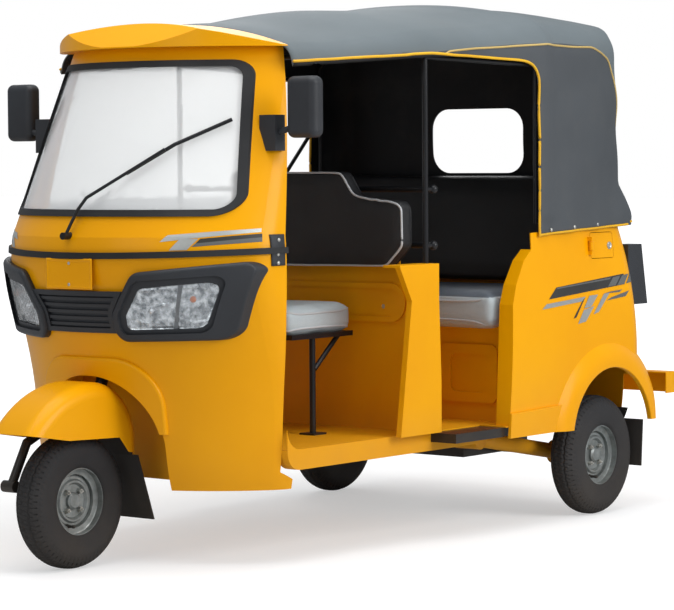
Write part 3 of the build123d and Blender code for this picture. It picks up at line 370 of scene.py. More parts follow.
def painted(name, light, dark, rough=0.3, coat=0.1, dust=0.25, reach=0.6, peel=0.12):
    """Enamel: drifting tone, dust low down, orange-peel ripple and a clear coat."""
    made, tree, shader = new_material(name)
    tone = place_group(tree, tone_drift, Light=light, Dark=dark, Scale=1.6)
    dirt = place_group(tree, road_dust, Reach=reach, Amount=dust)
    tree.links.new(tone.outputs["Colour"], dirt.inputs["Colour"])
    tree.links.new(dirt.outputs["Colour"], shader.inputs["Base Color"])
    place = add(tree, "TexCoord").outputs["Object"]
    scuff = noise(tree, place, 38.0, 8.0, 0.7)
    rough_in = math_node(tree, "MULTIPLY_ADD", scuff, 0.18)
    rough_in.node.inputs[2].default_value = rough - 0.09
    rough_sum = math_node(tree, "MULTIPLY_ADD", dirt.outputs["Mask"], 0.5)
    tree.links.new(rough_in, rough_sum.node.inputs[2])
    tree.links.new(rough_sum, shader.inputs["Roughness"])
    shader.inputs["Coat Weight"].default_value = coat
    shader.inputs["Coat Roughness"].default_value = 0.12
    shader.inputs["Specular IOR Level"].default_value = 0.14
    bump(tree, shader, noise(tree, place, 160.0, 2.0), peel, 0.0006)
    return made


finish = {}
finish["yellow_paint"] = painted("yellow_paint", srgb(241, 168, 0), srgb(235, 160, 0), 0.34, 0.05, 0.1)
finish["floor_paint"] = painted("floor_paint", srgb(240, 168, 0), srgb(232, 158, 0), 0.5, 0.05, 0.4, 0.45)
finish["yellow_steel"] = painted("yellow_steel", srgb(240, 168, 0), srgb(230, 158, 0), 0.42, 0.08, 0.4, 0.45)
finish["black_steel"] = painted("black_steel", srgb(34, 35, 38), srgb(24, 25, 27), 0.38, 0.3, 0.22, 0.5)
print("painted finishes:", sorted(finish))

# %% [markdown]
# ## Rubber, plastic and vinyl
# These differ mostly in grain size and shine. Tyre rubber is nearly black and
# matt with dust low down. Moulded plastic has a fine pebble and a soft
# shine. Seat vinyl has a larger leather grain, and canopy cloth shows the
# threads of its backing through the coating.

# %% Grained finishes
def grained(name, light, dark, rough, scale, strength, depth=0.0004, groove=0.14, dust=0.15, reach=0.5,
            spec=0.4):
    """Pebbled skin: drifting tone, darker grooves, dust low down and bump from the grain."""
    made, tree, shader = new_material(name)
    tone = place_group(tree, tone_drift, Light=light, Dark=dark, Scale=3.0)
    grain = place_group(tree, pebble_grain, Scale=scale, Groove=groove)
    weak = math_node(tree, "MULTIPLY", grain.outputs["Groove"], 0.25)
    shaded = mix_colour(tree, weak, tone.outputs["Colour"], (0.01, 0.01, 0.01, 1.0))
    dirt = place_group(tree, road_dust, Reach=reach, Amount=dust)
    tree.links.new(shaded, dirt.inputs["Colour"])
    tree.links.new(dirt.outputs["Colour"], shader.inputs["Base Color"])
    worn = math_node(tree, "MULTIPLY_ADD", tone.outputs["Mask"], 0.12)
    worn.node.inputs[2].default_value = rough - 0.06
    tree.links.new(worn, shader.inputs["Roughness"])
    shader.inputs["Specular IOR Level"].default_value = spec
    bump(tree, shader, grain.outputs["Height"], strength, depth)
    return made


finish["black_plastic"] = grained("black_plastic", srgb(48, 51, 56), srgb(40, 42, 46), 0.5, 900.0, 0.22)
finish["black_rubber"] = grained("black_rubber", srgb(40, 41, 43), srgb(31, 32, 34), 0.72, 700.0, 0.2, dust=0.14)
finish["tyre"] = grained("tyre_rubber", srgb(43, 44, 47), srgb(34, 35, 38), 0.74, 800.0, 0.18, dust=0.10, reach=0.42)
finish["seat_vinyl"] = grained("seat_vinyl", srgb(200, 211, 215), srgb(188, 199, 203), 0.46, 420.0, 0.35, 0.0007)
# this finish is a darker copy of the seat vinyl, painted shade for the bench seat's top faces
finish["seat_top_painted_shade"] = grained("seat_top_painted_shade", srgb(112, 120, 130), srgb(98, 106, 116), 0.48, 420.0, 0.35, 0.0007)
finish["back_vinyl"] = grained("back_vinyl", srgb(38, 39, 42), srgb(28, 29, 31), 0.42, 420.0, 0.4, 0.0007)
finish["grey_plastic"] = grained("grey_plastic", srgb(120, 124, 128), srgb(108, 112, 116), 0.5, 900.0, 0.2)
finish["yellow_piping"] = grained("yellow_piping", srgb(240, 186, 30), srgb(226, 168, 22), 0.5, 700.0, 0.15, dust=0.1)
finish["beige_piping"] = grained("beige_piping", srgb(206, 178, 110), srgb(190, 162, 98), 0.55, 700.0, 0.15, dust=0.1)
finish["light_piping"] = grained("light_piping", srgb(208, 210, 212), srgb(192, 195, 198), 0.45, 700.0, 0.15)
print("finishes:", len(finish))

# %% [markdown]
# Canopy cloth is woven polyester coated on both sides. Crossing sine waves
# make the threads; the outside has a blue-grey coat and the lining is black.

# %% Canopy cloth
WEAVE_SCALE = 900.0 / 6.28
CURVE_BASE = 1.0  # a curve holds 0 to 1, so heights are kept less this


def seam_mask(tree, place, path):
    """1 above a seam and 0 below it: the seam's height is a curve of the distance along the roof."""
    parts = add(tree, "SeparateXYZ")
    tree.links.new(place, parts.inputs[0])
    share = add(tree, "MapRange")
    share.inputs["From Min"].default_value, share.inputs["From Max"].default_value = at(path[0][0]), at(path[-1][0])
    tree.links.new(parts.outputs["Y"], share.inputs["Value"])
    line = add(tree, "FloatCurve")
    points = line.mapping.curves[0].points
    while len(points) < len(path):
        points.new(0.5, 0.5)
    reach = path[-1][0] - path[0][0]
    for point, (station, z) in zip(points, path):
        point.location = ((station - path[0][0]) / reach, z - CURVE_BASE)
        point.handle_type = "VECTOR"
    line.mapping.update()
    tree.links.new(share.outputs[0], line.inputs["Value"])
    rise = math_node(tree, "SUBTRACT", parts.outputs["Z"], math_node(tree, "ADD", line.outputs[0], CURVE_BASE))
    return math_node(tree, "MULTIPLY", rise, 1500.0, clamp=True)


def woven(name, light, dark, rough=0.62, roof=None, path=None):
    """Coated weave; where a seam path is given, the cloth above the seam takes the roof's colour."""
    made, tree, shader = new_material(name)
    place = add(tree, "TexCoord").outputs["Object"]
    tone = place_group(tree, tone_drift, Light=light, Dark=dark, Scale=2.2).outputs["Colour"]
    if roof:
        over = place_group(tree, tone_drift, Light=roof[0], Dark=roof[1], Scale=2.2).outputs["Colour"]
        tone = mix_colour(tree, seam_mask(tree, place, path), tone, over)
    waves = []
    for direction in ("X", "Y", "Z"):
        wave = add(tree, "TexWave", wave_type="BANDS", bands_direction=direction)
        wave.inputs["Scale"].default_value = WEAVE_SCALE
        tree.links.new(place, wave.inputs["Vector"])
        waves.append(wave.outputs["Fac"])
    weave = math_node(tree, "ADD", waves[0], waves[1])
    weave = math_node(tree, "ADD", weave, waves[2])
    weave = math_node(tree, "MULTIPLY", weave, 0.33)
    stain = noise(tree, place, 5.0, 8.0, 0.68)
    stained = add(tree, "MapRange")
    stained.inputs["From Min"].default_value, stained.inputs["From Max"].default_value = 0.5, 0.85
    stained.inputs["To Max"].default_value = 0.10
    tree.links.new(stain, stained.inputs["Value"])
    outside = mix_colour(tree, stained.outputs[0], tone, srgb(128, 124, 112))
    faint = math_node(tree, "MULTIPLY", weave, 0.18)
    outside = mix_colour(tree, faint, outside, dark)
    tree.links.new(outside, shader.inputs["Base Color"])
    shader.inputs["Roughness"].default_value = rough
    shader.inputs["Specular IOR Level"].default_value = 0.3
    bump(tree, shader, weave, 0.25, 0.0004)
    return made


# station and height of the seam between the roof cloth and the sides
SEAM = [(1.120, 1.568), (1.300, 1.586), (1.550, 1.604), (1.750, 1.610), (1.920, 1.604), (2.020, 1.560),
        (2.060, 1.480), (2.090, 1.420), (2.112, 1.350), (2.124, 1.250)]
# the colour's edge adds a start below the roof and an end that keeps the back in the sides' colour
SEAM_LINE = [(1.080, 1.000), *SEAM, (2.134, 1.140), (2.140, 1.600), (2.240, 1.600)]
finish["canopy_cloth"] = woven("canopy_cloth", srgb(76, 80, 84), srgb(69, 73, 77), path=SEAM_LINE,
                               roof=(srgb(106, 115, 119), srgb(97, 106, 110)))
finish["canopy_lining"] = woven("canopy_lining_cloth", srgb(36, 37, 40), srgb(26, 27, 29), 0.7)
print("cloth finishes:", [k for k in finish if k.startswith("canopy")])

# %% [markdown]
# ## Bright metal and lamps
# The wheels are zinc-coated steel, which is grey with cloudy patches. Lamp
# reflectors and bulbs are smoother and brighter; the reflector's bright and
# mid-grey patches are painted reflections of its facets.

# %% Metals
def bright_metal(name, light, dark, rough, patch=30.0, strength=0.1):
    """Metal whose tone and roughness change in soft patches."""
    made, tree, shader = new_material(name)
    tone = place_group(tree, tone_drift, Light=light, Dark=dark, Scale=patch)
    dirt = place_group(tree, road_dust, Reach=0.5, Amount=0.2)
    tree.links.new(tone.outputs["Colour"], dirt.inputs["Colour"])
    tree.links.new(dirt.outputs["Colour"], shader.inputs["Base Color"])
    worn = math_node(tree, "MULTIPLY_ADD", tone.outputs["Mask"], 0.16)
    worn.node.inputs[2].default_value = rough
    tree.links.new(worn, shader.inputs["Roughness"])
    shader.inputs["Metallic"].default_value = 0.85
    place = add(tree, "TexCoord").outputs["Object"]
    bump(tree, shader, noise(tree, place, 260.0, 4.0), strength, 0.0003)
    return made


finish["silver_rim"] = bright_metal("silver_rim", srgb(158, 164, 164), srgb(132, 138, 138), 0.42)
finish["bolt_zinc"] = bright_metal("bolt_zinc", srgb(205, 205, 200), srgb(176, 176, 170), 0.32, 80.0)
finish["chrome"] = bright_metal("chrome", srgb(236, 238, 240), srgb(222, 226, 230), 0.1, 12.0, 0.02)
# the reflector's tone swings between bright and mid grey in patches: painted reflections of its facets
finish["reflector"] = bright_metal("lamp_reflector_painted_reflections", srgb(232, 237, 240), srgb(112, 120, 126), 0.16, 55.0, 0.0)
print("metals ready")

# %% [markdown]
# ## Glass and lenses
# Window glass is a thin clear plate. Seen against a pale room it looks almost
# white, so it keeps a high transmission and a slight haze of dust. Lamp lenses
# are moulded with fine upright flutes that spread the light.

# %% Glass
def clear_glass(name, colour, rough, weight, flutes=0.0):
    """See-through plate; flutes is the height of upright ribs, in metres."""
    made, tree, shader = new_material(name)
    shader.inputs["Base Color"].default_value = colour
    shader.inputs["Transmission Weight"].default_value = weight
    shader.inputs["IOR"].default_value = 1.45
    place = add(tree, "TexCoord").outputs["Object"]
    haze = math_node(tree, "MULTIPLY_ADD", noise(tree, place, 9.0, 6.0), 0.06)
    haze.node.inputs[2].default_value = rough
    tree.links.new(haze, shader.inputs["Roughness"])
    ribs = add(tree, "TexWave", wave_type="BANDS", bands_direction="X")
    ribs.inputs["Scale"].default_value = 26.0
    tree.links.new(place, ribs.inputs["Vector"])
    bump(tree, shader, ribs.outputs["Fac"] if flutes else noise(tree, place, 4.0), 0.6 if flutes else 0.02,
         flutes or 0.0002)
    return made


finish["clear_glass"] = clear_glass("window_glass", (0.97, 0.98, 0.98, 1.0), 0.0, 0.55)
finish["lamp_lens"] = clear_glass("lamp_lens", (0.97, 0.98, 0.99, 1.0), 0.02, 0.96, 0.0012)
finish["red_lens"] = clear_glass("red_lens", srgb(196, 20, 16), 0.08, 0.35, 0.0010)
finish["amber_lens"] = clear_glass("amber_lens", srgb(240, 120, 12), 0.08, 0.4, 0.0008)
print("glass ready")

# %% [markdown]
# ## Give every CAD node its finish
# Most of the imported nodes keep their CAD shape. Each takes one of the finishes
# above; the soft seats, canopy and tyres are replaced further down.

# %% Finishes for the nodes
finish_of = {
    "yellow_paint": ["front_cowl", "front_mudguard", "quarter_left", "quarter_right", "rear_panel", "engine_lid",
                     "fuel_flap", "roof_visor"],
    "floor_paint": ["floor_pan", "seat_box", "partition", "wheel_well"],
    "yellow_steel": ["trailing_arm_left", "trailing_arm_right", "rear_bumper"],
    "black_steel": ["chassis_frame", "canopy_frame", "driver_seat_frame", "front_fork", "steering_head", "half_shafts",
                    "engine_block", "side_steps", "handlebar", "wiper"],
    "black_plastic": ["dashboard", "mirrors", "lamp_surrounds", "grille", "tail_lamps"],
    "black_rubber": ["windscreen_seal", "front_mudflap", "rear_mudflaps", "waist_moulding"],
    "silver_rim": ["front_rim", "front_hub", "rear_left_rim", "rear_left_hub", "rear_right_rim", "rear_right_hub"],
    "clear_glass": ["windscreen_glass"],
    "lamp_lens": ["headlamps"],
}


def dress(obj, material):
    """The object's material slots all take this one material."""
    obj.data.materials.clear()
    obj.data.materials.append(material)


dressed = set()
for key, names in finish_of.items():
    for name in names:
        if name in nodes:
            dress(nodes[name], finish[key])
            dressed.add(name)
print("still to dress or replace:", sorted(set(nodes) - dressed))

# %% [markdown]
# ## Building surfaces with numpy
# Every new piece below is one of two things: a grid of points from a formula,
# or a small profile carried along a path. Two helpers turn such arrays into
# meshes, so each piece's own code is only its shape.

# %% Grid meshes
def make_piece(name, points, quads, material, body, smooth=True):
    """Object from an (n, 3) array and an (m, 4) array, with shared points merged."""
    mesh = bpy.data.meshes.new(name)
    mesh.from_pydata(points.tolist(), [], quads.tolist())
    mesh.validate()
    merge_points(mesh)
    mesh.materials.append(material)
    if smooth:
        mesh.shade_smooth()
    piece = linked(name, mesh)
    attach(piece, body)
    return piece


def merge_points(mesh, distance=1e-5, recalc=False):
    """Merge points that touch, and turn all faces outwards where asked."""
    work = bmesh.new()
    work.from_mesh(mesh)
    bmesh.ops.remove_doubles(work, verts=work.verts, dist=distance)
    if recalc:
        bmesh.ops.recalc_face_normals(work, faces=work.faces)
    work.to_mesh(mesh)
    work.free()


def grid_quads(rows, columns, close_rows=False, close_columns=False):
    """Quads of a grid of points numbered row by row; either direction may join up."""
    index = np.arange(rows * columns).reshape(rows, columns)
    if close_rows:
        index = np.vstack([index, index[:1]])
    if close_columns:
        index = np.hstack([index, index[:, :1]])
    corners = (index[:-1, :-1], index[1:, :-1], index[1:, 1:], index[:-1, 1:])
    return np.stack([c.ravel() for c in corners], axis=1)


def grid_piece(name, grid, material, body, close_rows=False, close_columns=False, smooth=True):
    """Object from a (rows, columns, 3) grid."""
    rows, columns = grid.shape[:2]
    quads = grid_quads(rows, columns, close_rows, close_columns)
    return make_piece(name, grid.reshape(-1, 3), quads, material, body, smooth)


print("grid helpers ready")

# %% [markdown]
# Piping, seams, hoses and rods are all a ring carried along a line. The ring
# stands square to the line at each point, and half-round caps close the ends.

# %% Tubes
def resample(points, count, closed=False):
    """Evenly spaced points along a polyline, by interpolating on its arc length."""
    points = np.asarray(points, float)
    if closed:
        points = np.vstack([points, points[:1]])
    run = np.concatenate([[0], np.cumsum(np.linalg.norm(np.diff(points, axis=0), axis=1))])
    places = np.linspace(0, run[-1], count, endpoint=not closed)
    return np.stack([np.interp(places, run, points[:, k]) for k in range(3)], axis=1)


def smooth_line(points, count, closed=False, passes=3):
    """Resampled line with its corners rounded by averaging neighbours, ends kept."""
    line = resample(points, count, closed)
    for _ in range(passes):
        around = (np.roll(line, 1, 0) + np.roll(line, -1, 0) + 2 * line) / 4
        if not closed:
            around[[0, -1]] = line[[0, -1]]
        line = around
    return line


def tube(name, line, radius, material, body, sides=10, closed=False):
    """Ring of sides points carried along line."""
    line = np.asarray(line, float)
    if closed:
        along = np.roll(line, -1, 0) - np.roll(line, 1, 0)
    else:
        along = np.gradient(line, axis=0)
    along /= np.linalg.norm(along, axis=1, keepdims=True)
    across = np.cross(along, (0.0, 0.0, 1.0))
    length = np.linalg.norm(across, axis=1, keepdims=True)
    across = np.where(length > 1e-3, across / np.maximum(length, 1e-9), np.cross(along, (1.0, 0.0, 0.01)))
    across /= np.linalg.norm(across, axis=1, keepdims=True)
    lift = np.cross(across, along)
    if closed:
        size = np.ones(len(line))
    else:
        size = np.ones(len(line) + 4)
        size[[0, 1, -2, -1]] = [0.0, 0.75, 0.75, 0.0]
        start, end = line[:1] - along[:1] * radius, line[-1:] + along[-1:] * radius
        near, far = line[:1] - along[:1] * radius * 0.6, line[-1:] + along[-1:] * radius * 0.6
        line = np.vstack([start, near, line, far, end])
        across = np.vstack([across[:1], across[:1], across, across[-1:], across[-1:]])
        lift = np.vstack([lift[:1], lift[:1], lift, lift[-1:], lift[-1:]])
    turn = np.linspace(0, 2 * np.pi, sides, endpoint=False)
    ring = (np.cos(turn)[None, :, None] * across[:, None] + np.sin(turn)[None, :, None] * lift[:, None])
    grid = line[:, None] + radius * size[:, None, None] * ring
    return grid_piece(name, grid, material, body, close_rows=closed, close_columns=True)


def turned(name, profile, centre, axis, material, body, steps=48, smooth=True):
    """Profile rows of (radius, height) turned about an axis through centre."""
    profile = np.asarray(profile, float)
    axis = np.asarray(axis, float) / np.linalg.norm(axis)
    side = np.cross(axis, (0, 0, 1)) if abs(axis[2]) < 0.9 else np.cross(axis, (1, 0, 0))
    side /= np.linalg.norm(side)
    other = np.cross(axis, side)
    turn = np.linspace(0, 2 * np.pi, steps, endpoint=False)
    spoke = np.cos(turn)[:, None] * side + np.sin(turn)[:, None] * other
    grid = (np.asarray(centre) + spoke[:, None] * profile[None, :, :1] + axis * profile[None, :, 1:])
    return grid_piece(name, grid, material, body, close_rows=True, smooth=smooth)


def dome(name, centre, axis, radius, height, material, body, steps=16):
    """Low round head, such as a rivet, screw or stud: a quarter ellipse turned about its axis."""
    t = np.linspace(0, np.pi / 2, 6)
    profile = np.stack([radius * np.sin(t), height * np.cos(t)], axis=1)
    profile = np.vstack([profile, [(radius, -height * 0.5), (0.0, -height * 0.5)]])
    return turned(name, profile, centre, axis, material, body, steps)


def join(name, pieces):
    """Several pieces made one mesh; they share a body."""
    with bpy.context.temp_override(active_object=pieces[0], selected_editable_objects=pieces):
        bpy.ops.object.join()
    pieces[0].name = pieces[0].data.name = name
    return pieces[0]


print("tube, turned and dome ready")

# %% [markdown]
# Piping has to lie on a surface that is already there. A Shrinkwrap modifier
# on the line's own points moves each one to the nearest place on that piece.

# %% Lines laid on a piece
def points_of(mesh):
    """All vertex positions as an (n, 3) array."""
    flat = np.zeros(len(mesh.vertices) * 3)
    mesh.vertices.foreach_get("co", flat)
    return flat.reshape(-1, 3)


def apply_modifiers(piece):
    """Replace a piece's mesh by what its modifiers show, and clear them."""
    bpy.context.view_layer.update()
    shown = piece.evaluated_get(bpy.context.evaluated_depsgraph_get())
    mesh = bpy.data.meshes.new_from_object(shown)
    piece.modifiers.clear()
    piece.data = mesh
    return piece


def laid_on(line, target, offset=0.0, closed=False):
    """The line's points moved to the nearest place on a piece, then out by offset."""
    mesh = bpy.data.meshes.new("line")
    mesh.from_pydata(np.asarray(line, float).tolist(), [], [])
    carrier = linked("line", mesh)
    wrap = carrier.modifiers.new("lay", "SHRINKWRAP")
    wrap.target, wrap.offset = target, offset
    wrap.wrap_method, wrap.wrap_mode = "NEAREST_SURFACEPOINT", "ABOVE_SURFACE"
    bpy.context.view_layer.update()
    shown = carrier.evaluated_get(bpy.context.evaluated_depsgraph_get())
    points = points_of(shown.data)
    bpy.data.objects.remove(carrier)
    around = (np.roll(points, 1, 0) + np.roll(points, -1, 0) + 2 * points) / 4
    if not closed:
        around[[0, -1]] = points[[0, -1]]
    return around


print("laid lines ready")

# %% [markdown]
# ## The canopy
# The hood is one skin of coated cloth pulled over three hoops. Its section is
# a straight side, a shoulder arc and a shallow roof arc. Each hoop's section
# is worked out in full, and the skin between hoops runs in straight lines, as
# stretched cloth does. Behind the last hoop the same section turns the rear
# corner and comes across the back, so roof, sides and back stay one sheet.

# %% Section of a hoop
HOOPS = np.array([
    # station, crown height, roof radius, half width, shoulder radius
    (0.482, 1.648, 1.426, 0.486, 0.070),
    (1.083, 1.718, 1.618, 0.560, 0.090),
    (1.600, 1.750, 2.300, 0.628, 0.120),
    (2.300, 1.750, 2.300, 0.628, 0.120),
])
CANOPY_FOOT = 0.940


def hoop_section(hoop, part, share):
    """(x, z) on a hoop: part 0 side, 1 shoulder, 2 roof; share runs 0-1 along each part."""
    _, crown, roof_r, half, corner_r = hoop
    swing = roof_r - corner_r
    side_x = half - corner_r
    corner_z = crown - roof_r + math.sqrt(swing ** 2 - side_x ** 2)
    lean = math.atan2(side_x, corner_z - (crown - roof_r))
    side = (np.full_like(share, half), CANOPY_FOOT + share * (corner_z - CANOPY_FOOT))
    turn = (np.pi / 2 - lean) * share
    shoulder = (side_x + corner_r * np.cos(turn), corner_z + corner_r * np.sin(turn))
    roll = lean * (1 - share)
    roof = (roof_r * np.sin(roll), crown - roof_r + roof_r * np.cos(roll))
    return tuple(np.choose(part, [side[k], shoulder[k], roof[k]]) for k in (0, 1))


def skin_point(station, part, share):
    """(x, z) of the cloth at a station, by blending the hoops before and after it."""
    x, z = np.zeros_like(station), np.zeros_like(station)
    for first, last in zip(HOOPS[:-1], HOOPS[1:]):
        inside = (station >= first[0]) & (station <= last[0])
        blend = np.clip((station - first[0]) / (last[0] - first[0]), 0, 1)
        (xa, za), (xb, zb) = hoop_section(first, part, share), hoop_section(last, part, share)
        x = np.where(inside, xa + (xb - xa) * blend, x)
        z = np.where(inside, za + (zb - za) * blend, z)
    return x, z


for part in (0, 1, 2):
    x, z = skin_point(np.array([1.083]), np.array([part]), np.array([1.0]))
    print("middle hoop: part", part, "ends at x", round(float(x[0]), 3), "z", round(float(z[0]), 3))

# %% [markdown]
# The cloth's lower edge is the eave over the doors and the hem over the body.
# A row of the grid follows that edge, and the rows above it share out the
# height that is left, so no face has to be cut away along the edge.

# %% Edge lines
EAVE_LEFT = np.array([(0.482, 1.525), (1.083, 1.563), (1.500, 1.549), (1.535, 1.545), (1.560, 1.536), (1.577, 1.520),
                      (1.587, 1.498), (1.590, 1.462)])
EAVE_RIGHT = np.array([(0.482, 1.525), (1.083, 1.563), (1.520, 1.547), (1.900, 1.500), (1.935, 1.462)])
MIDDLE_RUN = np.linspace(1.590, 1.935, 16)[1:]
CORNER_TURN = 0.072
REAR_LINE = np.array([(0.940, 2.213), (1.022, 2.213), (1.135, 2.131), (1.480, 2.119), (1.740, 2.106), (1.80, 2.104)])


def hem_height(station):
    """Height of the hem, which rises slightly to the rear."""
    return np.interp(station, [1.560, 2.462], [0.968, 1.006])


def rear_station(height):
    """Station of the cloth's back at a height: flared at the hem, then nearly upright."""
    return np.interp(height, REAR_LINE[:, 0], REAR_LINE[:, 1])


def wrap_rear(fixed, height, half, columns):
    """Columns (x, station) of one row: straight back along the side, round the corner, to the centre line.

    fixed holds stations that every row has; the rest share out what is left up
    to the corner. The corner is a quarter circle that is small near the crown.
    """
    rear = rear_station(height)
    corner = np.minimum(CORNER_TURN, half * 0.98) * np.clip((1.74 - height) / 0.10, 0.30, 1.0)
    side_share, corner_share, back_share = columns
    start = MIDDLE_RUN[-1]
    run = start + (rear - corner - start)[:, None] * side_share
    run = np.concatenate([np.broadcast_to(fixed, (len(rear), len(fixed))), run], axis=1)
    side = np.stack([np.broadcast_to(half[:, None], run.shape), run], -1)
    turn = corner_share * np.pi / 2
    bend = np.stack([(half - corner)[:, None] + corner[:, None] * np.cos(turn),
                     (rear - corner)[:, None] + corner[:, None] * np.sin(turn)], -1)
    back = np.stack(np.broadcast_arrays((half - corner)[:, None] * (1 - back_share), rear[:, None]), -1)
    return np.concatenate([side, bend, back], axis=1)


print("rear of the cloth at the hem and the eave:", rear_station(np.array([0.99, 1.5])))

# %% [markdown]
# Stretched cloth is never a perfect surface. Between hoops it sags a few
# millimetres, at the hem it ripples between its snaps, and it puckers near the
# corners. These moves are sums of waves, added along the surface's normal.

# %% Ripples
def sag(grid):
    """Inward move at each point, in metres: dips between hoops, hem ripples and slow puckers."""
    x, y, z = grid[..., 0], grid[..., 1] - FRONT_AXLE_Y, grid[..., 2]
    hoops = np.array([0.482, 1.098, 1.610, 1.960, 2.20])
    slot = np.clip(np.searchsorted(hoops, y) - 1, 0, len(hoops) - 2)
    share = np.clip((y - hoops[slot]) / (hoops[slot + 1] - hoops[slot]), 0, 1)
    dip = 0.007 * np.sin(np.pi * share) ** 2 * np.clip((z - 1.05) / 0.3, 0, 1)
    hem = 0.0035 * np.sin(y * 38.0 + x * 21.0) * np.exp(-np.clip(z - 1.0, 0, 1) / 0.07) * (z < 1.3)
    pucker = 0.0016 * np.sin(y * 17.0 + 3.0 * np.sin(z * 9.0))
    pucker = pucker + 0.0012 * np.sin(z * 31.0 + 2.0 * np.sin(y * 7.0 + x * 5.0))
    first = 0.009 * np.exp(-((y - 1.640) / 0.030) ** 2) * (z > 1.02)
    second = 0.005 * np.exp(-((y - 1.905) / 0.018) ** 2) * np.clip((z - 1.60) / 0.06, 0, 1)
    return dip + hem + pucker - first - second


def round_over(grid):
    """Lower the roof points near the back, so that roof and back meet in a bend of this radius."""
    station, height = grid[..., 1] - FRONT_AXLE_Y, grid[..., 2]
    bend = 0.038
    past = np.clip((station - rear_station(height) + bend) / bend, 0, 1)
    drop = bend * (1 - np.sqrt(1 - past ** 2)) * np.clip((height - 1.54) / 0.14, 0, 1)
    return grid - drop[..., None] * np.array([0.0, 0.0, 1.0])


def push_in(grid, amount):
    """Move grid points along the surface normal, found from the grid's own differences."""
    along = np.gradient(grid, axis=0)
    across = np.gradient(grid, axis=1)
    normal = np.cross(along, across)
    length = np.linalg.norm(normal, axis=-1, keepdims=True)
    normal = normal / np.maximum(length, 1e-9)
    middle = np.array([0.0, at(1.3), 1.2])
    facing = np.sign(np.sum(normal * (grid - middle), axis=-1, keepdims=True))
    return grid - normal * facing * amount[..., None] * (length > 1e-7)


print("deepest dip", 0.007, "m")

# %% The canopy sheet
def canopy_half(eave):
    """Left half of the skin as grids: roof rows above the eave, and side rows below it."""
    edge = float(eave[-1, 0])
    fixed = MIDDLE_RUN[MIDDLE_RUN > edge + 1e-6]
    columns = (np.linspace(0, 1, 12)[1:], np.linspace(0, 1, 10)[1:], np.linspace(0, 1, 26)[1:])
    front = np.concatenate([np.linspace(HOOPS[0, 0], 1.470, 40), np.linspace(1.470, 1.590, 13)[1:], MIDDLE_RUN])
    front = front[front < edge + 1e-6]
    eave_z = np.interp(front, eave[:, 0], eave[:, 1])
    low = float(eave_z[-1])
    rows_side, rows_turn, rows_roof = 6, 10, 22
    part = np.concatenate([np.zeros(rows_side), np.ones(rows_turn), np.full(rows_roof, 2)]).astype(int)
    share = np.concatenate([np.linspace(0, 1, rows_side), np.linspace(0, 1, rows_turn + 1)[1:],
                            np.linspace(0, 1, rows_roof + 1)[1:]])
    stations = np.broadcast_to(front, (len(part), len(front)))
    parts, shares = (np.broadcast_to(v[:, None], stations.shape) for v in (part, share))
    x, z = skin_point(stations, parts, shares)
    top_z = skin_point(front, np.zeros(len(front), int), np.ones(len(front)))[1]
    z[:rows_side] = eave_z + (top_z - eave_z) * share[:rows_side, None]
    front_part = np.stack([x, at(stations), z], -1)
    # behind the edge every row keeps the section of the third hoop
    half, height = skin_point(np.full(len(part), HOOPS[2, 0]), part, share)
    height[:rows_side] = low + (height[rows_side - 1] - low) * share[:rows_side]
    rear_part = wrap_rear(fixed, height, half, columns)
    level = np.broadcast_to(height[:, None, None], rear_part.shape[:2] + (1,))
    rear_part = np.concatenate([rear_part[..., :1], at(rear_part[..., 1:]), level], -1)
    roof = np.concatenate([front_part, rear_part], axis=1)
    drop = np.linspace(0, 1, 34)
    wide = np.full(len(drop), half[0])
    wrap = wrap_rear(fixed, low + (0.985 - low) * drop, wide, columns)
    start = np.stack([np.full((len(drop), 1), x[0, -1]), np.full((len(drop), 1), edge)], -1)
    wrap = np.concatenate([start, wrap], axis=1)
    height = low + (hem_height(wrap[..., 1]) - low) * drop[:, None]
    side = np.concatenate([wrap[..., :1], at(wrap[..., 1:]), height[..., None]], -1)
    return roof, side[::-1]


def face_away(mesh, middle):
    """Flip the whole mesh if most of its faces look towards the middle point."""
    count = len(mesh.polygons)
    centre, normal = np.zeros(count * 3), np.zeros(count * 3)
    mesh.polygons.foreach_get("center", centre)
    mesh.polygons.foreach_get("normal", normal)
    if np.sum(normal.reshape(-1, 3) * (centre.reshape(-1, 3) - np.asarray(middle))) < 0:
        mesh.flip_normals()


def sheet_object(name, grids, material):
    """All grids of the skin welded into one object."""
    points, quads, start = [], [], 0
    for grid in grids:
        rows, columns = grid.shape[:2]
        points.append(grid.reshape(-1, 3))
        quads.append(grid_quads(rows, columns) + start)
        start += rows * columns
    mesh = bpy.data.meshes.new(name)
    mesh.from_pydata(np.concatenate(points).tolist(), [], np.concatenate(quads).tolist())
    merge_points(mesh, 0.0010)
    face_away(mesh, (0.0, at(1.3), 1.2))
    mesh.materials.append(material)
    mesh.shade_smooth()
    return linked(name, mesh)


MIRROR_X = np.array([-1.0, 1.0, 1.0])
skin_grids = []
for eave, side in ((EAVE_LEFT, 1.0), (EAVE_RIGHT, -1.0)):
    for grid in canopy_half(eave):
        middle_line = grid[..., 0] < 1e-6
        grid = push_in(round_over(grid), sag(grid) + 0.001)
        grid[..., 0] = np.where(middle_line, 0.0, grid[..., 0])
        skin_grids.append(grid if side > 0 else (grid * MIRROR_X)[::-1])
canopy = sheet_object("canopy_skin", skin_grids, finish["canopy_cloth"])

# %% [markdown]
# The cloth gets its thickness with Solidify, whose inner face takes a second
# material for the black lining. The rear window is cut with a rounded prism
# once the sheet is solid, because a boolean needs a closed shape.

# %% Thickness, window and colours
dress(canopy, finish["canopy_cloth"])
canopy.data.materials.append(finish["canopy_lining"])

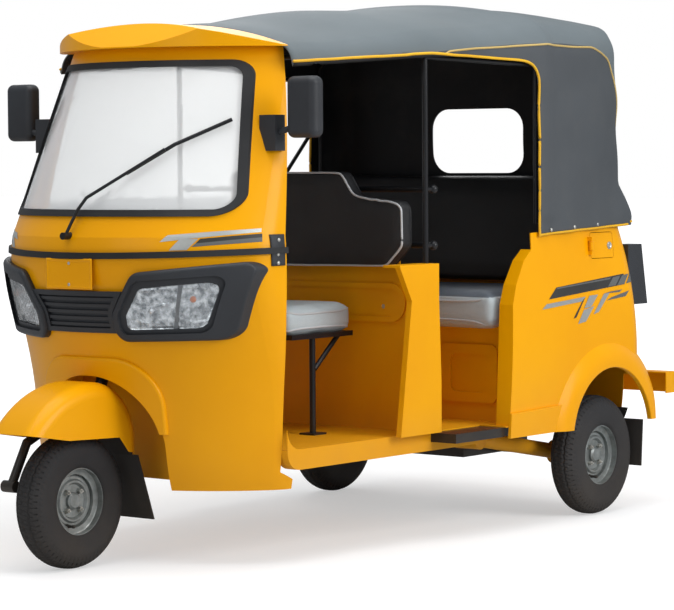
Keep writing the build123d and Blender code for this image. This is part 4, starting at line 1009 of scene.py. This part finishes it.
def rounded_prism(name, half, low, high, corner, y0, y1):
    """Closed prism along Y with a rounded-rectangle section, used as a cutter."""
    turn = np.linspace(0, np.pi / 2, 9)
    x = np.concatenate([half - corner + corner * np.cos(turn), -half + corner + corner * np.cos(turn + np.pi / 2)])
    x = np.concatenate([x, -x])
    middle, rise = (low + high) / 2, (high - low) / 2
    z = np.concatenate([rise - corner + corner * np.sin(turn), rise - corner + corner * np.sin(turn + np.pi / 2)])
    z = middle + np.concatenate([z, -z])
    rings = np.stack([np.stack([x, np.full_like(x, y), z], -1) for y in (y0, y1)])
    hubs = np.stack([np.full_like(rings[k], (0.0, y, middle)) for k, y in enumerate((y0, y1))])
    grid = np.concatenate([hubs[:1], rings, hubs[1:]])
    mesh = bpy.data.meshes.new(name)
    mesh.from_pydata(grid.reshape(-1, 3).tolist(), [], grid_quads(4, len(x), close_columns=True).tolist())
    merge_points(mesh, recalc=True)
    return linked(name, mesh)


WINDOW = dict(half=0.200, low=1.175, high=1.405, corner=0.070)
solid = canopy.modifiers.new("thickness", "SOLIDIFY")
solid.thickness = 0.004
solid.offset = -1.0
solid.material_offset = 1
solid.material_offset_rim = 0
apply_modifiers(canopy)
cutter = rounded_prism("window_cutter", y0=at(1.95), y1=at(2.4), **WINDOW)
cut = canopy.modifiers.new("window", "BOOLEAN")
cut.object, cut.operation, cut.solver = cutter, "DIFFERENCE", "EXACT"
apply_modifiers(canopy)
bpy.data.objects.remove(cutter)
canopy.data.shade_smooth()
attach(canopy, "body")
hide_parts("canopy_roof", "canopy_side_left", "canopy_side_right", "canopy_back")
print("canopy after cutting:", len(canopy.data.polygons), "faces")

# %% [markdown]
# Bound edges and seams carry piping: a thin cord sewn inside a strip of
# vinyl. It runs along the eave, down the front of each quarter, round the hem
# and over the seam between roof and sides. The hem also has round snaps.

# %% Lines on the skin
def skin_width(stations, heights):
    """Half width of the cloth at stations and heights, read off a fine section at each station."""
    share = np.linspace(0, 1, 40)
    part = np.repeat([0, 1, 2], 40)
    shares = np.tile(share, 3)
    grid_s = np.broadcast_to(stations[:, None], (len(stations), len(part)))
    x, z = skin_point(grid_s, np.broadcast_to(part, grid_s.shape), np.broadcast_to(shares, grid_s.shape))
    above = np.argmax(z >= heights[:, None], axis=1).clip(1)
    row = np.arange(len(stations))
    z0, z1, x0, x1 = z[row, above - 1], z[row, above], x[row, above - 1], x[row, above]
    return x0 + (x1 - x0) * (heights - z0) / np.maximum(z1 - z0, 1e-9)


def skin_line(stations, heights, sign=1.0, proud=0.014):
    """Points on the cloth's outside at stations and heights, on one side."""
    stations, heights = np.asarray(stations, float), np.asarray(heights, float)
    wide = skin_width(stations, heights)
    rear = rear_station(heights)
    corner = CORNER_TURN * np.clip((1.74 - heights) / 0.10, 0.30, 1.0)
    past = np.clip(stations - (rear - corner), 0, corner)
    x = wide - corner + np.sqrt(np.maximum(corner ** 2 - past ** 2, 0)) + proud
    return np.stack([sign * x, at(np.minimum(stations, rear) + 0.5 * proud * (past > 0)), heights], -1)


def round_rear(height, count=40, proud=0.014):
    """Line across the back at one height, from corner to corner of the cloth."""
    rear = float(rear_station(np.array([height]))[0])
    turn = np.linspace(0, np.pi / 2, 10)
    half, corner = HOOPS[-1, 3] + proud, CORNER_TURN
    bend = np.stack([half - corner + corner * np.cos(turn), rear + proud - corner + corner * np.sin(turn)], -1)
    across = np.linspace(half - corner, -(half - corner), count)[1:-1]
    flat = np.stack([across, np.full(count - 2, rear + proud)], -1)
    back = np.concatenate([bend, flat, bend[::-1] * (-1, 1)])
    return np.stack([back[:, 0], at(back[:, 1]), np.full(len(back), height)], -1)


SEAM_PATH = np.array([*SEAM, (2.133, 1.135), (2.213, 1.022)])


def piping(name, line, radius, colour):
    """Cord laid on the canopy along a line."""
    return tube(name, laid_on(line, canopy), radius, finish[colour], "body")


for sign, eave, tag in ((1.0, EAVE_LEFT, "left"), (-1.0, EAVE_RIGHT, "right")):
    run = resample(np.column_stack([eave, np.zeros(len(eave))]), 80)
    edge = skin_line(run[:, 0], run[:, 1], sign)
    down = np.linspace(eave[-1, 1], float(hem_height(eave[-1, 0])), 30)[1:]
    edge = np.vstack([edge, skin_line(np.full(29, eave[-1, 0]), down, sign)])
    piping("canopy_edge_" + tag, smooth_line(edge, 150), 0.0045, "yellow_piping")
    hem_run = np.linspace(eave[-1, 0], 2.13, 30)
    hem = skin_line(hem_run, hem_height(hem_run) + 0.004, sign)
    piping("canopy_hem_" + tag, smooth_line(hem, 90), 0.004, "yellow_piping")
    seam_run = resample(np.column_stack([SEAM_PATH, np.zeros(len(SEAM_PATH))]), 120)
    seam = skin_line(seam_run[:, 0], seam_run[:, 1], sign)
    piping("canopy_seam_" + tag, smooth_line(seam, 140), 0.0035, "beige_piping")
piping("canopy_hem_back", round_rear(1.004), 0.004, "yellow_piping")

# %% [markdown]
# ## Tyres
# A scooter-size tyre is a round casing with a flat band of tread. Its section
# is worked out from bead to bead, then carried round the axle. The tread is
# cut by lowering points where a zigzag pattern says groove, and the shoulders
# have short side notches, so one surface holds the whole tyre.

# %% One tyre as a grid
TYRE_WIDTH = 0.108
BEAD_RADIUS = 0.102


def tyre_grid(around=900):
    """Tyre about X at the origin: angle by section place.

    The section runs as a rounded oblong. Grooves lower the tread by 5 mm where
    a zigzag of the angle crosses a few bands, and thin rings stand on the wall.
    """
    s = np.linspace(0, 1, 74)
    half = TYRE_WIDTH / 2
    turn = np.pi * (s - 0.5)
    wide = np.sign(turn) * np.abs(np.sin(turn)) ** 0.72 * half
    rise = np.abs(np.cos(turn)) ** 0.62
    radius = BEAD_RADIUS + (TYRE_RADIUS - BEAD_RADIUS) * rise
    wide = wide * np.where(rise < 0.55, 0.80 + 0.20 * (rise / 0.55), 1.0)
    angle = np.linspace(0, 2 * np.pi, around, endpoint=False)[:, None]
    across = (wide / half)[None, :]
    crown = (radius > TYRE_RADIUS - 0.020)[None, :]
    zigzag = 0.07 * (2 * np.abs(((angle * 46 / (2 * np.pi)) % 1) - 0.5) - 0.5)
    groove = np.zeros((around, len(s)))
    for centre, wide_groove in ((-0.40, 0.055), (-0.02, 0.05), (0.38, 0.055)):
        groove = np.maximum(groove, 1 - np.clip(np.abs(across - centre - zigzag) / wide_groove - 0.35, 0, 1))
    cut = (angle * 64 / (2 * np.pi) + 0.55 * np.abs(across)) % 1
    sipe = (np.abs(across) > 0.62) * (np.abs(across) < 1.2) * (1 - np.clip(np.abs(cut - 0.5) / 0.13 - 0.3, 0, 1))
    fine = (angle * 92 / (2 * np.pi) - 1.1 * across) % 1
    fine = 0.45 * (np.abs(across) < 0.6) * (1 - np.clip(np.abs(fine - 0.5) / 0.14 - 0.3, 0, 1))
    depth = 0.0050 * np.maximum(np.maximum(groove, sipe), fine) * crown
    place = np.clip((radius - BEAD_RADIUS) / (TYRE_RADIUS - BEAD_RADIUS), 0, 1)[None, :]
    ring = 0.0009 * (np.exp(-((place - 0.30) / 0.015) ** 2) + np.exp(-((place - 0.62) / 0.02) ** 2))
    lug = 0.0011 * (np.abs(place - 0.70) < 0.05) * (((angle * 64 / (2 * np.pi)) % 1) < 0.55)
    out = radius[None, :] - depth
    x = wide[None, :] * (1 + (ring + lug) / half)
    x = np.broadcast_to(x, out.shape)
    return np.stack([x, out * np.cos(angle), out * np.sin(angle)], -1)


def tyre_piece(name, node, body, x, station):
    """The tyre grid moved onto its axle, in place of the plain CAD tyre."""
    grid = tyre_grid() + np.array([x, at(station), TYRE_RADIUS])
    piece = grid_piece(name, grid, finish["tyre"], body, close_rows=True, close_columns=True)
    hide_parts(node)
    return piece


TRACK_HALF = 0.570
tyres = [
    tyre_piece("tyre_front", "front_tyre", "front_wheel", 0.0, 0.0),
    tyre_piece("tyre_rear_left", "rear_left_tyre", "rear_wheel_left", TRACK_HALF, REAR_AXLE),
    tyre_piece("tyre_rear_right", "rear_right_tyre", "rear_wheel_right", -TRACK_HALF, REAR_AXLE),
]
for tyre, node in zip(tyres, ("front_tyre", "rear_left_tyre", "rear_right_tyre")):
    merge_points(tyre.data, recalc=True)

# %% [markdown]
# ## Wheel fittings
# Each steel wheel is held by nuts on a small circle, and its tube's valve
# sticks out through a hole in the disc. A hexagonal nut is a turned profile
# with six steps; the valve is a thin stem with a rubber foot and a cap.

# %% Nuts and valves
def nut(name, centre, axis, radius, body):
    """Hexagonal nut with a chamfered face and a stud end."""
    profile = [(0.0, -0.004), (radius, -0.004), (radius, 0.006), (radius * 0.86, 0.0085), (radius * 0.5, 0.0085),
               (radius * 0.5, 0.013), (radius * 0.34, 0.0145), (0.0, 0.0145)]
    return turned(name, profile, centre, axis, finish["bolt_zinc"], body, steps=6, smooth=False)


def valve(name, centre, axis, body):
    """Tyre valve: rubber foot, stem and cap, all in one black rubber finish."""
    profile = [(0.0, -0.006), (0.0075, -0.006), (0.007, 0.002), (0.0048, 0.010), (0.0042, 0.022), (0.0050, 0.023),
               (0.0050, 0.031), (0.0036, 0.034), (0.0, 0.034)]
    return turned(name, profile, centre, axis, finish["black_rubber"], body, steps=14)


NUT_CIRCLE = 0.039
wheels = [("front_wheel", "front_hub", 0.0, 0.0, 1.0), ("rear_wheel_left", "rear_left_hub", TRACK_HALF, REAR_AXLE, 1.0),
          ("rear_wheel_right", "rear_right_hub", -TRACK_HALF, REAR_AXLE, -1.0)]
for body, hub, x, station, out in wheels:
    low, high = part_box(hub.replace("hub", "rim"))
    print(body, "rim x", round(low[0], 3), round(high[0], 3))

# %% [markdown]
# Each wheel gets four nuts on its bosses and one valve. The wheel's own frame
# has X along its axle, so a place on the disc is a radius and an angle.

# %% Fit the nuts and valves
def on_wheel(x, station, radius, degrees, proud, out):
    """Point on a wheel's outer face at a radius and angle, proud of the disc by a distance."""
    angle = math.radians(degrees)
    return np.array([x + out * proud, at(station) + radius * math.sin(angle), TYRE_RADIUS + radius * math.cos(angle)])


for body, hub, x, station, out in wheels:
    axis = (out, 0.0, 0.0)
    parts = [nut(body + "_nut", on_wheel(x, station, NUT_CIRCLE, spot, 0.0135, out), axis, 0.0082, body)
             for spot in (45, 135, 225, 315)]
    fittings = join(body + "_nuts", parts)
    stem = valve(body + "_valve", on_wheel(x, station, 0.0785, 200, 0.010, out), axis, body)
print("wheel fittings done")

# %% [markdown]
# ## Seats
# A foam seat swells between its seams. Each CAD block is copied, remeshed into
# even small faces and blown up a little by Blender's cloth solver with
# pressure and no gravity. The move of every point is then capped, so the seat
# stays in its space.

# %% Padding
def node_copy(name, node):
    """Welded copy of a CAD node's mesh as a new object."""
    mesh = nodes[node].data.copy()
    mesh.name = name
    merge_points(mesh, 2e-5)
    mesh.materials.clear()
    return linked(name, mesh)


def padding(name, node, material, shrink, voxel, cap, body="body"):
    """Soft version of a block: shrunk a little, remeshed, inflated as cloth, then capped and smoothed."""
    piece = node_copy(name, node)
    low, high = (np.array(v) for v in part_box(node))
    middle, half = (low + high) / 2, (high - low) / 2
    points = middle + (points_of(piece.data) - middle) * (1 - shrink / half)
    piece.data.vertices.foreach_set("co", points.ravel())
    remesh = piece.modifiers.new("even", "REMESH")
    remesh.mode, remesh.voxel_size = "VOXEL", voxel
    apply_modifiers(piece)
    start = points_of(piece.data)
    cloth = piece.modifiers.new("swell", "CLOTH")
    cloth.settings.use_pressure = True
    cloth.settings.uniform_pressure_force = 4.0
    cloth.settings.effector_weights.gravity = 0.0
    cloth.settings.quality = 4
    cloth.point_cache.frame_start, cloth.point_cache.frame_end = 1, 20
    for frame_number in range(1, 21):
        bpy.context.scene.frame_set(frame_number)
    apply_modifiers(piece)
    bpy.context.scene.frame_set(1)
    move = points_of(piece.data) - start
    length = np.linalg.norm(move, axis=1, keepdims=True)
    points = start + move * np.minimum(1.0, cap / np.maximum(length, 1e-9))
    piece.data.vertices.foreach_set("co", points.ravel())
    smooth = piece.modifiers.new("soften", "SMOOTH")
    smooth.iterations = 6
    apply_modifiers(piece)
    dress(piece, material)
    piece.data.shade_smooth()
    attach(piece, body)
    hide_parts(node)
    print(name, "faces", len(piece.data.polygons), "size", np.round(np.ptp(points_of(piece.data), axis=0), 3))
    return piece


seats = {}
seats["driver_seat"] = padding("driver_seat", "driver_cushion", finish["seat_vinyl"], 0.004, 0.008, 0.012)
seats["driver_back"] = padding("driver_back", "driver_backrest", finish["back_vinyl"], 0.003, 0.008, 0.010)
seats["bench_seat"] = padding("bench_seat", "passenger_cushion", finish["seat_vinyl"], 0.004, 0.010, 0.014)
seats["bench_back"] = padding("bench_back", "passenger_backrest", finish["back_vinyl"], 0.003, 0.010, 0.012)

# %% [markdown]
# Seams and piping come after the padding, because the remesh would have
# erased them. A line round the block is lifted onto the padded surface, and
# the cord is then carried along it.

# %% Seat piping
def box_loop(node, level, inset, count=160):
    """Loop round a node's box at a height given as a share of it, drawn in by inset."""
    low, high = (np.array(v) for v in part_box(node))
    z = low[2] + level * (high[2] - low[2])
    x0, x1, y0, y1 = low[0] + inset, high[0] - inset, low[1] + inset, high[1] - inset
    return smooth_line([(x0, y0, z), (x1, y0, z), (x1, y1, z), (x0, y1, z)], count, closed=True, passes=40)


cords = []
for tag, piece, node, level in (("driver_seat_cord", "driver_seat", "driver_cushion", 0.80),
                                ("driver_seat_base_cord", "driver_seat", "driver_cushion", 0.16),
                                ("bench_seat_cord", "bench_seat", "passenger_cushion", 0.78),
                                ("bench_seat_base_cord", "bench_seat", "passenger_cushion", 0.14)):
    loop = laid_on(box_loop(node, level, 0.004), seats[piece], 0.0004, closed=True)
    cord = tube(tag, loop, 0.0038, finish["light_piping"], "body", closed=True, sides=8)
    cords.append(cord)
back_face = np.array([(-0.250, 0.868), (0.418, 0.874), (0.486, 0.940), (0.486, 1.084), (0.290, 1.116), (0.236, 1.194),
                      (-0.250, 1.194)])
for tag, station in (("driver_back_cord_front", 1.0268), ("driver_back_cord_rear", 1.0842)):
    corners = np.column_stack([back_face[:, 0], np.full(7, at(station)), back_face[:, 1]])
    loop = laid_on(smooth_line(corners, 220, closed=True, passes=18), seats["driver_back"], 0.0004, closed=True)
    colour = finish["light_piping" if "front" in tag else "back_vinyl"]
    cord = tube(tag, loop, 0.0036, colour, "body", closed=True, sides=8)
    cords.append(cord)
print("seat cords:", len(cords))

# %% [markdown]
# The bench seat's top gets painted shade: a darker copy of the seat vinyl. Faces that
# look up get the second material, which follows the piping as a cut would.

# %% Painted shade on the bench seat's top
def painted_shade_by_facing(piece, material, limit, axis=2):
    """Faces whose normal points along an axis more than limit take the second material."""
    piece.data.materials.append(material)
    normals = np.zeros(len(piece.data.polygons) * 3)
    piece.data.polygons.foreach_get("normal", normals)
    chosen = normals.reshape(-1, 3)[:, axis] > limit
    piece.data.polygons.foreach_set("material_index", chosen.astype(np.int32))
    return int(chosen.sum())


# painted shade: the bench seat's upward faces take the darker vinyl
print("darker faces:", painted_shade_by_facing(seats["bench_seat"], finish["seat_top_painted_shade"], 0.62))

# %% [markdown]
# ## Lamps
# Each headlamp is a clear moulded lens over a bright tray with two reflector
# bowls and bulbs. The outline is a rounded polygon in front view. A patch is
# rings from the middle of that outline to its edge, pressed onto the cowl.

# %% Patches pressed onto a panel
FORWARD = (0, -1, 0)
BEFORE_COWL = -1.40  # y of a patch before it is pressed onto the cab front
BESIDE_BODY = 0.80  # x of a patch before it is pressed onto a side


def rounded_polygon(corners, radii, steps=8):
    """2-D outline with an arc at each corner, tangent to both of its sides."""
    corners, outline = np.asarray(corners, float), []
    for index, radius in enumerate(radii):
        corner = corners[index]
        before, after = corners[index - 1] - corner, corners[(index + 1) % len(corners)] - corner
        before, after = before / np.linalg.norm(before), after / np.linalg.norm(after)
        half = math.acos(float(np.clip(before @ after, -1, 1))) / 2
        middle = (before + after) / np.linalg.norm(before + after)
        centre = corner + middle * radius / math.sin(half)
        first, last = corner + before * radius / math.tan(half), corner + after * radius / math.tan(half)
        a0, a1 = (math.atan2(*(p - centre)[::-1]) for p in (first, last))
        sweep = (a1 - a0 + math.pi) % (2 * math.pi) - math.pi
        turn = a0 + sweep * np.linspace(0, 1, steps)
        outline.append(centre + radius * np.stack([np.cos(turn), np.sin(turn)], -1))
    return np.concatenate(outline)


def pressed(name, grid, node, axis, offset, material, body, close_columns=False, reach=0.12, hug=0.0):
    """Grid pushed along an axis onto a node's outer face, and held off it by offset.

    The grid starts in front of the node; axis is the direction that it looks
    in, such as FORWARD, and offset is measured the same way.
    With hug it is also lifted off along the face's own normal by that much.
    """
    piece = grid_piece(name, grid, material, body, close_columns=close_columns)
    axis = np.asarray(axis, float)
    wrap = piece.modifiers.new("press", "SHRINKWRAP")
    wrap.target, wrap.wrap_method = nodes[node], "PROJECT"
    wrap.use_project_x, wrap.use_project_y, wrap.use_project_z = (abs(a) > 0.5 for a in axis)
    facing = axis[np.argmax(np.abs(axis))]
    wrap.use_negative_direction, wrap.use_positive_direction = bool(facing > 0), bool(facing < 0)
    wrap.project_limit = reach
    if hug:
        film = piece.modifiers.new("film", "SHRINKWRAP")
        film.target, film.offset = nodes[node], hug
        film.wrap_method, film.wrap_mode = "NEAREST_SURFACEPOINT", "ABOVE_SURFACE"
    apply_modifiers(piece)
    points = points_of(piece.data) + axis * offset
    piece.data.vertices.foreach_set("co", points.ravel())
    face_along(piece.data, axis)
    piece.data.shade_smooth()
    return piece


def face_along(mesh, axis):
    """Flip the whole mesh if its faces look against an axis on the whole."""
    normal = np.zeros(len(mesh.polygons) * 3)
    mesh.polygons.foreach_get("normal", normal)
    if np.sum(normal.reshape(-1, 3) @ np.asarray(axis, float)) < 0:
        mesh.flip_normals()


def fan_grid(outline, rings, depth):
    """Rings from the middle of an outline in front view to its edge, at one depth."""
    middle = outline.mean(axis=0)
    share = np.linspace(0, 1, rings + 1)[:, None, None]
    flat = middle + share * (outline[None] - middle)
    level = np.full(flat.shape[:2], depth)
    return np.stack([flat[..., 0], level, flat[..., 1]], -1)


LENS_CORNERS = np.array([(0.182, 0.723), (0.396, 0.731), (0.450, 0.870), (0.240, 0.850), (0.184, 0.766)])
LENS_RADII = (0.014, 0.036, 0.018, 0.026, 0.024)
print("outline points:", len(rounded_polygon(LENS_CORNERS, LENS_RADII)))

# %% Reflector tray, bowls, bulbs and lens
BOWLS = [("main", 0.255, 0.790, 0.052), ("dip", 0.372, 0.803, 0.055)]


def lamp_tray(side):
    """Bright tray with two dished bowls: the depth dips by a parabola inside each bowl's circle."""
    outline = rounded_polygon(LENS_CORNERS, LENS_RADII, 14)
    grid = fan_grid(outline, 40, BEFORE_COWL)
    grid[..., 0] *= side
    tray = pressed("lamp_tray_" + side_word(side), grid, "front_cowl", FORWARD, 0.010,
                   finish["reflector"], "body", close_columns=True, reach=0.9)
    points = points_of(tray.data)
    for _, x, z, radius in BOWLS:
        away = np.hypot(points[:, 0] - side * x, points[:, 2] - z) / radius
        points[:, 1] += 0.0085 * np.clip(1 - away ** 2, 0, 1) ** 0.6
        points[:, 1] -= 0.0016 * np.exp(-((away - 1.03) / 0.05) ** 2)
    tray.data.vertices.foreach_set("co", points.ravel())
    return tray


for side in (1.0, -1.0):
    tag = side_word(side)
    tray = lamp_tray(side)
    grid = fan_grid(rounded_polygon(LENS_CORNERS, LENS_RADII, 10), 14, BEFORE_COWL)
    grid[..., 0] *= side
    lens = pressed("lamp_lens_" + tag, grid, "front_cowl", FORWARD, 0.016, finish["lamp_lens"], "body",
                   close_columns=True, reach=0.9)
    wall = lens.modifiers.new("wall", "SOLIDIFY")
    wall.thickness, wall.offset = 0.002, -1.0
    if side > 0:
        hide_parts("headlamps")
    points = points_of(tray.data)
    for label, x, z, radius in BOWLS:
        near = points[np.argmin(np.hypot(points[:, 0] - side * x, points[:, 2] - z))]
        bulb = dome("lamp_bulb_%s_%s" % (label, tag), near, FORWARD, 0.0105, 0.0075,
                    finish["amber_lens" if label == "dip" else "chrome"], "body", 20)
print("lamps dressed")

# %% [markdown]
# The bar that splits the two bowls is a narrow grey strip leaning with the
# lens.

# %% Divider
for side in (1.0, -1.0):
    tag = side_word(side)
    across, up = np.meshgrid(np.linspace(0, 1, 5), np.linspace(0, 1, 24))
    x = side * ((0.312 + 0.034 * up) + 0.010 * across)
    z = 0.727 + 0.134 * up
    grid = np.stack([x, np.full_like(x, BEFORE_COWL), z], -1)
    bar = pressed("lamp_divider_" + tag, grid, "front_cowl", FORWARD, 0.0135, finish["grey_plastic"], "body",
                  reach=0.9)
print("dividers done")

# %% [markdown]
# ## Number plate
# Under the moulding sits a blank plate, painted like the body, with a raised
# rim pressed into it and two screws. It is a patch whose depth steps up in a
# narrow band near its edge.

# %% Blank plate
def plate_grid(x0, x1, z0, z1, y, count=(60, 40)):
    """Flat grid with a rounded rim raised 2.6 mm in a band 5 mm in from the edge."""
    across, up = np.meshgrid(np.linspace(0, 1, count[0]), np.linspace(0, 1, count[1]))
    x, z = x0 + (x1 - x0) * across, z0 + (z1 - z0) * up
    edge = np.minimum.reduce([x - x0, x1 - x, z - z0, z1 - z])
    rim = 0.0026 * np.exp(-((edge - 0.0050) / 0.0026) ** 2)
    bend = 0.0010 * np.sin(across * 5.1 + 0.4) * np.sin(up * 3.3)
    return np.stack([x, y - rim - bend, z], -1)


PLATE = dict(x0=-0.090, x1=0.100, z0=0.844, z1=0.937)
plate_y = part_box("front_cowl")[0][1] - 0.0002
grid = plate_grid(PLATE["x0"], PLATE["x1"], PLATE["z0"], PLATE["z1"], plate_y - 0.004)
plate = grid_piece("number_plate", grid, finish["yellow_paint"], "body")
face_along(plate.data, FORWARD)
wall = plate.modifiers.new("wall", "SOLIDIFY")
wall.thickness, wall.offset = 0.0016, -1.0
for label, x, z in (("high", 0.005, 0.922), ("low", 0.005, 0.858)):
    screw = dome("number_plate_screw_" + label, (x, plate_y - 0.0045, z), FORWARD, 0.0052, 0.0022,
                 finish["bolt_zinc"], "body", 14)
for label, x in (("left", -0.060), ("right", 0.070)):
    spacer = turned("number_plate_spacer_" + label, [(0.0, 0.030), (0.007, 0.030), (0.007, 0.003), (0.0, 0.003)],
                    (x, plate_y - 0.003, 0.900), (0, 1, 0), finish["black_plastic"], "body", 12)
print("plate:", PLATE, "at y", round(float(plate_y), 4))

# %% [markdown]
# ## Stripes
# The trim on the cab and the rear body is printed film. Each stripe is a
# four-sided patch with its corners where they lie on the panel, filled in
# straight lines and pressed on with a hair's gap, so it follows the curve.

# %% Film finishes and stripes on the cab
finish["silver_film"] = bright_metal("silver_film", srgb(206, 208, 204), srgb(188, 190, 186), 0.36, 12.0, 0.02)
finish["dark_film"] = grained("dark_film", srgb(58, 58, 56), srgb(46, 46, 45), 0.42, 900.0, 0.05, dust=0.0)
finish["grey_film"] = grained("grey_film", srgb(104, 106, 104), srgb(94, 96, 95), 0.42, 900.0, 0.05, dust=0.0)


def bilinear(corners, columns, rows):
    """Grid between four corners given round the patch: two along the first edge, two back."""
    a, b, c, d = (np.asarray(p, float) for p in corners)
    u, v = np.meshgrid(np.linspace(0, 1, columns), np.linspace(0, 1, rows))
    u, v = u[..., None], v[..., None]
    return (a * (1 - u) + b * u) * (1 - v) + (d * (1 - u) + c * u) * v


CAB_STRIPES = [
    # finish, corners as (x, z) round the stripe
    ("silver_film", [(0.295, 0.9870), (0.313, 1.0070), (0.500, 1.0245), (0.502, 1.0135)]),
    ("silver_film", [(0.320, 0.9620), (0.344, 0.9950), (0.387, 0.9960), (0.363, 0.9630)]),
    ("dark_film", [(0.382, 0.9825), (0.391, 0.9960), (0.504, 1.0090), (0.506, 0.9980)]),
    ("grey_film", [(0.373, 0.9720), (0.382, 0.9825), (0.506, 0.9980), (0.508, 0.9850)]),
]
for side in (1.0, -1.0):
    for number, (kind, corners) in enumerate(CAB_STRIPES):
        flat = [(side * x, BEFORE_COWL, z) for x, z in corners]
        stripe = pressed("cab_stripe_%d_%s" % (number, side_word(side)), bilinear(flat, 40, 8),
                         "front_cowl", FORWARD, 0.0, finish[kind], "body", reach=0.9, hug=0.0010)
print("cab stripes:", 2 * len(CAB_STRIPES))

# %% Stripes on the rear body
BODY_STRIPES = [
    # finish, layer, corners as (station, z) round the stripe
    ("dark_film", 0, [(1.632, 0.757), (1.680, 0.795), (2.163, 0.831), (2.177, 0.795)]),
    ("grey_film", 1, [(1.679, 0.789), (1.686, 0.794), (2.016, 0.816), (2.007, 0.810)]),
    ("grey_film", 1, [(1.993, 0.785), (2.028, 0.816), (2.075, 0.820), (2.042, 0.788)]),
    ("grey_film", 1, [(2.051, 0.787), (2.086, 0.821), (2.129, 0.825), (2.098, 0.791)]),
    ("grey_film", 1, [(2.108, 0.792), (2.142, 0.826), (2.165, 0.829), (2.169, 0.797)]),
    ("silver_film", 0, [(1.591, 0.725), (1.618, 0.742), (1.853, 0.757), (1.834, 0.742)]),
    ("dark_film", 0, [(1.775, 0.686), (1.831, 0.742), (1.849, 0.754), (1.792, 0.689)]),
    ("silver_film", 1, [(1.841, 0.718), (1.876, 0.759), (1.930, 0.761), (1.884, 0.721)]),
    ("silver_film", 0, [(1.802, 0.667), (1.839, 0.712), (1.904, 0.723), (1.850, 0.673)]),
    ("silver_film", 0, [(1.898, 0.695), (1.967, 0.762), (2.003, 0.764), (1.930, 0.701)]),
    ("grey_film", 1, [(1.970, 0.763), (2.008, 0.768), (2.083, 0.772), (2.066, 0.764)]),
    ("grey_film", 0, [(1.984, 0.738), (2.013, 0.748), (2.127, 0.767), (2.104, 0.748)]),
]
for side, node in ((1.0, "quarter_left"), (-1.0, "quarter_right")):
    for number, (kind, layer, corners) in enumerate(BODY_STRIPES):
        flat = [(side * BESIDE_BODY, at(station), z) for station, z in corners]
        stripe = pressed("body_stripe_%d_%s" % (number, side_word(side)), bilinear(flat, 40, 8),
                         node, (side, 0, 0), 0.0, finish[kind], "body", reach=0.4, hug=0.0010 + 0.0005 * layer)
print("body stripes:", 2 * len(BODY_STRIPES))

# %% [markdown]
# ## Brackets, lock and studs
# The moulding ends at a black plate screwed to the cab's corner. The fuel flap
# has a round lock, and the canopy hem snaps onto studs along the body.

# %% Moulding end plate
for side in (1.0, -1.0):
    tag = side_word(side)
    flat = [(side * BESIDE_BODY, at(station), z)
            for station, z in ((0.330, 0.912), (0.388, 0.912), (0.388, 1.006), (0.330, 1.006))]
    plate_end = pressed("moulding_end_" + tag, bilinear(flat, 10, 12), "front_cowl", (side, 0, 0), 0.004,
                        finish["black_plastic"], "body", reach=0.5)
    wall = plate_end.modifiers.new("wall", "SOLIDIFY")
    wall.thickness, wall.offset = 0.004, -1.0
    for number, (station, z) in enumerate(((0.364, 0.992), (0.359, 0.944), (0.358, 0.921))):
        spot = points_of(plate_end.data)
        near = spot[np.argmin(np.hypot(spot[:, 1] - at(station), spot[:, 2] - z))]
        bolt = dome("moulding_end_bolt_%d_%s" % (number, tag), near, (side, 0, 0), 0.0062, 0.0038,
                    finish["bolt_zinc"], "body", 14)
print("moulding ends done")

# %% Fuel flap lock and canopy studs
lock = turned("fuel_flap_lock", [(0.0, -0.006), (0.013, -0.006), (0.013, 0.0015), (0.0115, 0.003), (0.009, 0.003),
                                 (0.0085, 0.0015), (0.0022, 0.0015), (0.0, -0.001)],
              (0.6246, at(2.018), 0.926), (1, 0, 0), finish["bolt_zinc"], "fuel_flap", 28)
studs = []
for side in (1.0, -1.0):
    stations = np.array([1.66, 1.80, 1.94, 2.08]) if side > 0 else np.array([1.98, 2.09])
    spots = skin_line(stations, hem_height(stations) + 0.016, side, 0.0005)
    for number, spot in enumerate(spots):
        studs.append(dome("canopy_stud_%d_%s" % (number, side_word(side)), spot, (side, 0, 0), 0.0065,
                          0.0035, finish["bolt_zinc"], "body", 14))
canopy_studs = join("canopy_studs", studs)
print("studs joined:", len(studs))

# %% [markdown]
# ## Tail lamps
# The CAD lamp is the black body. Its lens leans with the body's rear face and
# has an amber part above, a red one in the middle and a clear one below.

# %% Tail lamp lenses
LAMP_LINE = ((0.715, 2.274), (0.925, 2.236))
LAMP_PARTS = [("amber_lens", 0.858, 0.914), ("red_lens", 0.778, 0.855), ("lamp_lens", 0.727, 0.775)]
for side in (1.0, -1.0):
    for kind, low, high in LAMP_PARTS:
        x, z = np.meshgrid(np.linspace(0.566, 0.611, 14), np.linspace(low, high, 20))
        rim = np.minimum((x - 0.566) * (0.611 - x) / 0.0225 ** 2, (z - low) * (high - z) / ((high - low) / 2) ** 2)
        lean = np.interp(z, (LAMP_LINE[0][0], LAMP_LINE[1][0]), (LAMP_LINE[0][1], LAMP_LINE[1][1]))
        ribs = 0.0006 * np.sin(z * 1400.0) * (rim > 0.05)
        grid = np.stack([side * x, at(lean + 0.0006 + 0.0035 * np.clip(rim, 0, 1) ** 0.25 + ribs), z], -1)
        lens = grid_piece("tail_%s_%s" % (kind, side_word(side)), grid, finish[kind], "body")
        face_along(lens.data, (0, 1, 0))
print("tail lamp parts:", 2 * len(LAMP_PARTS))
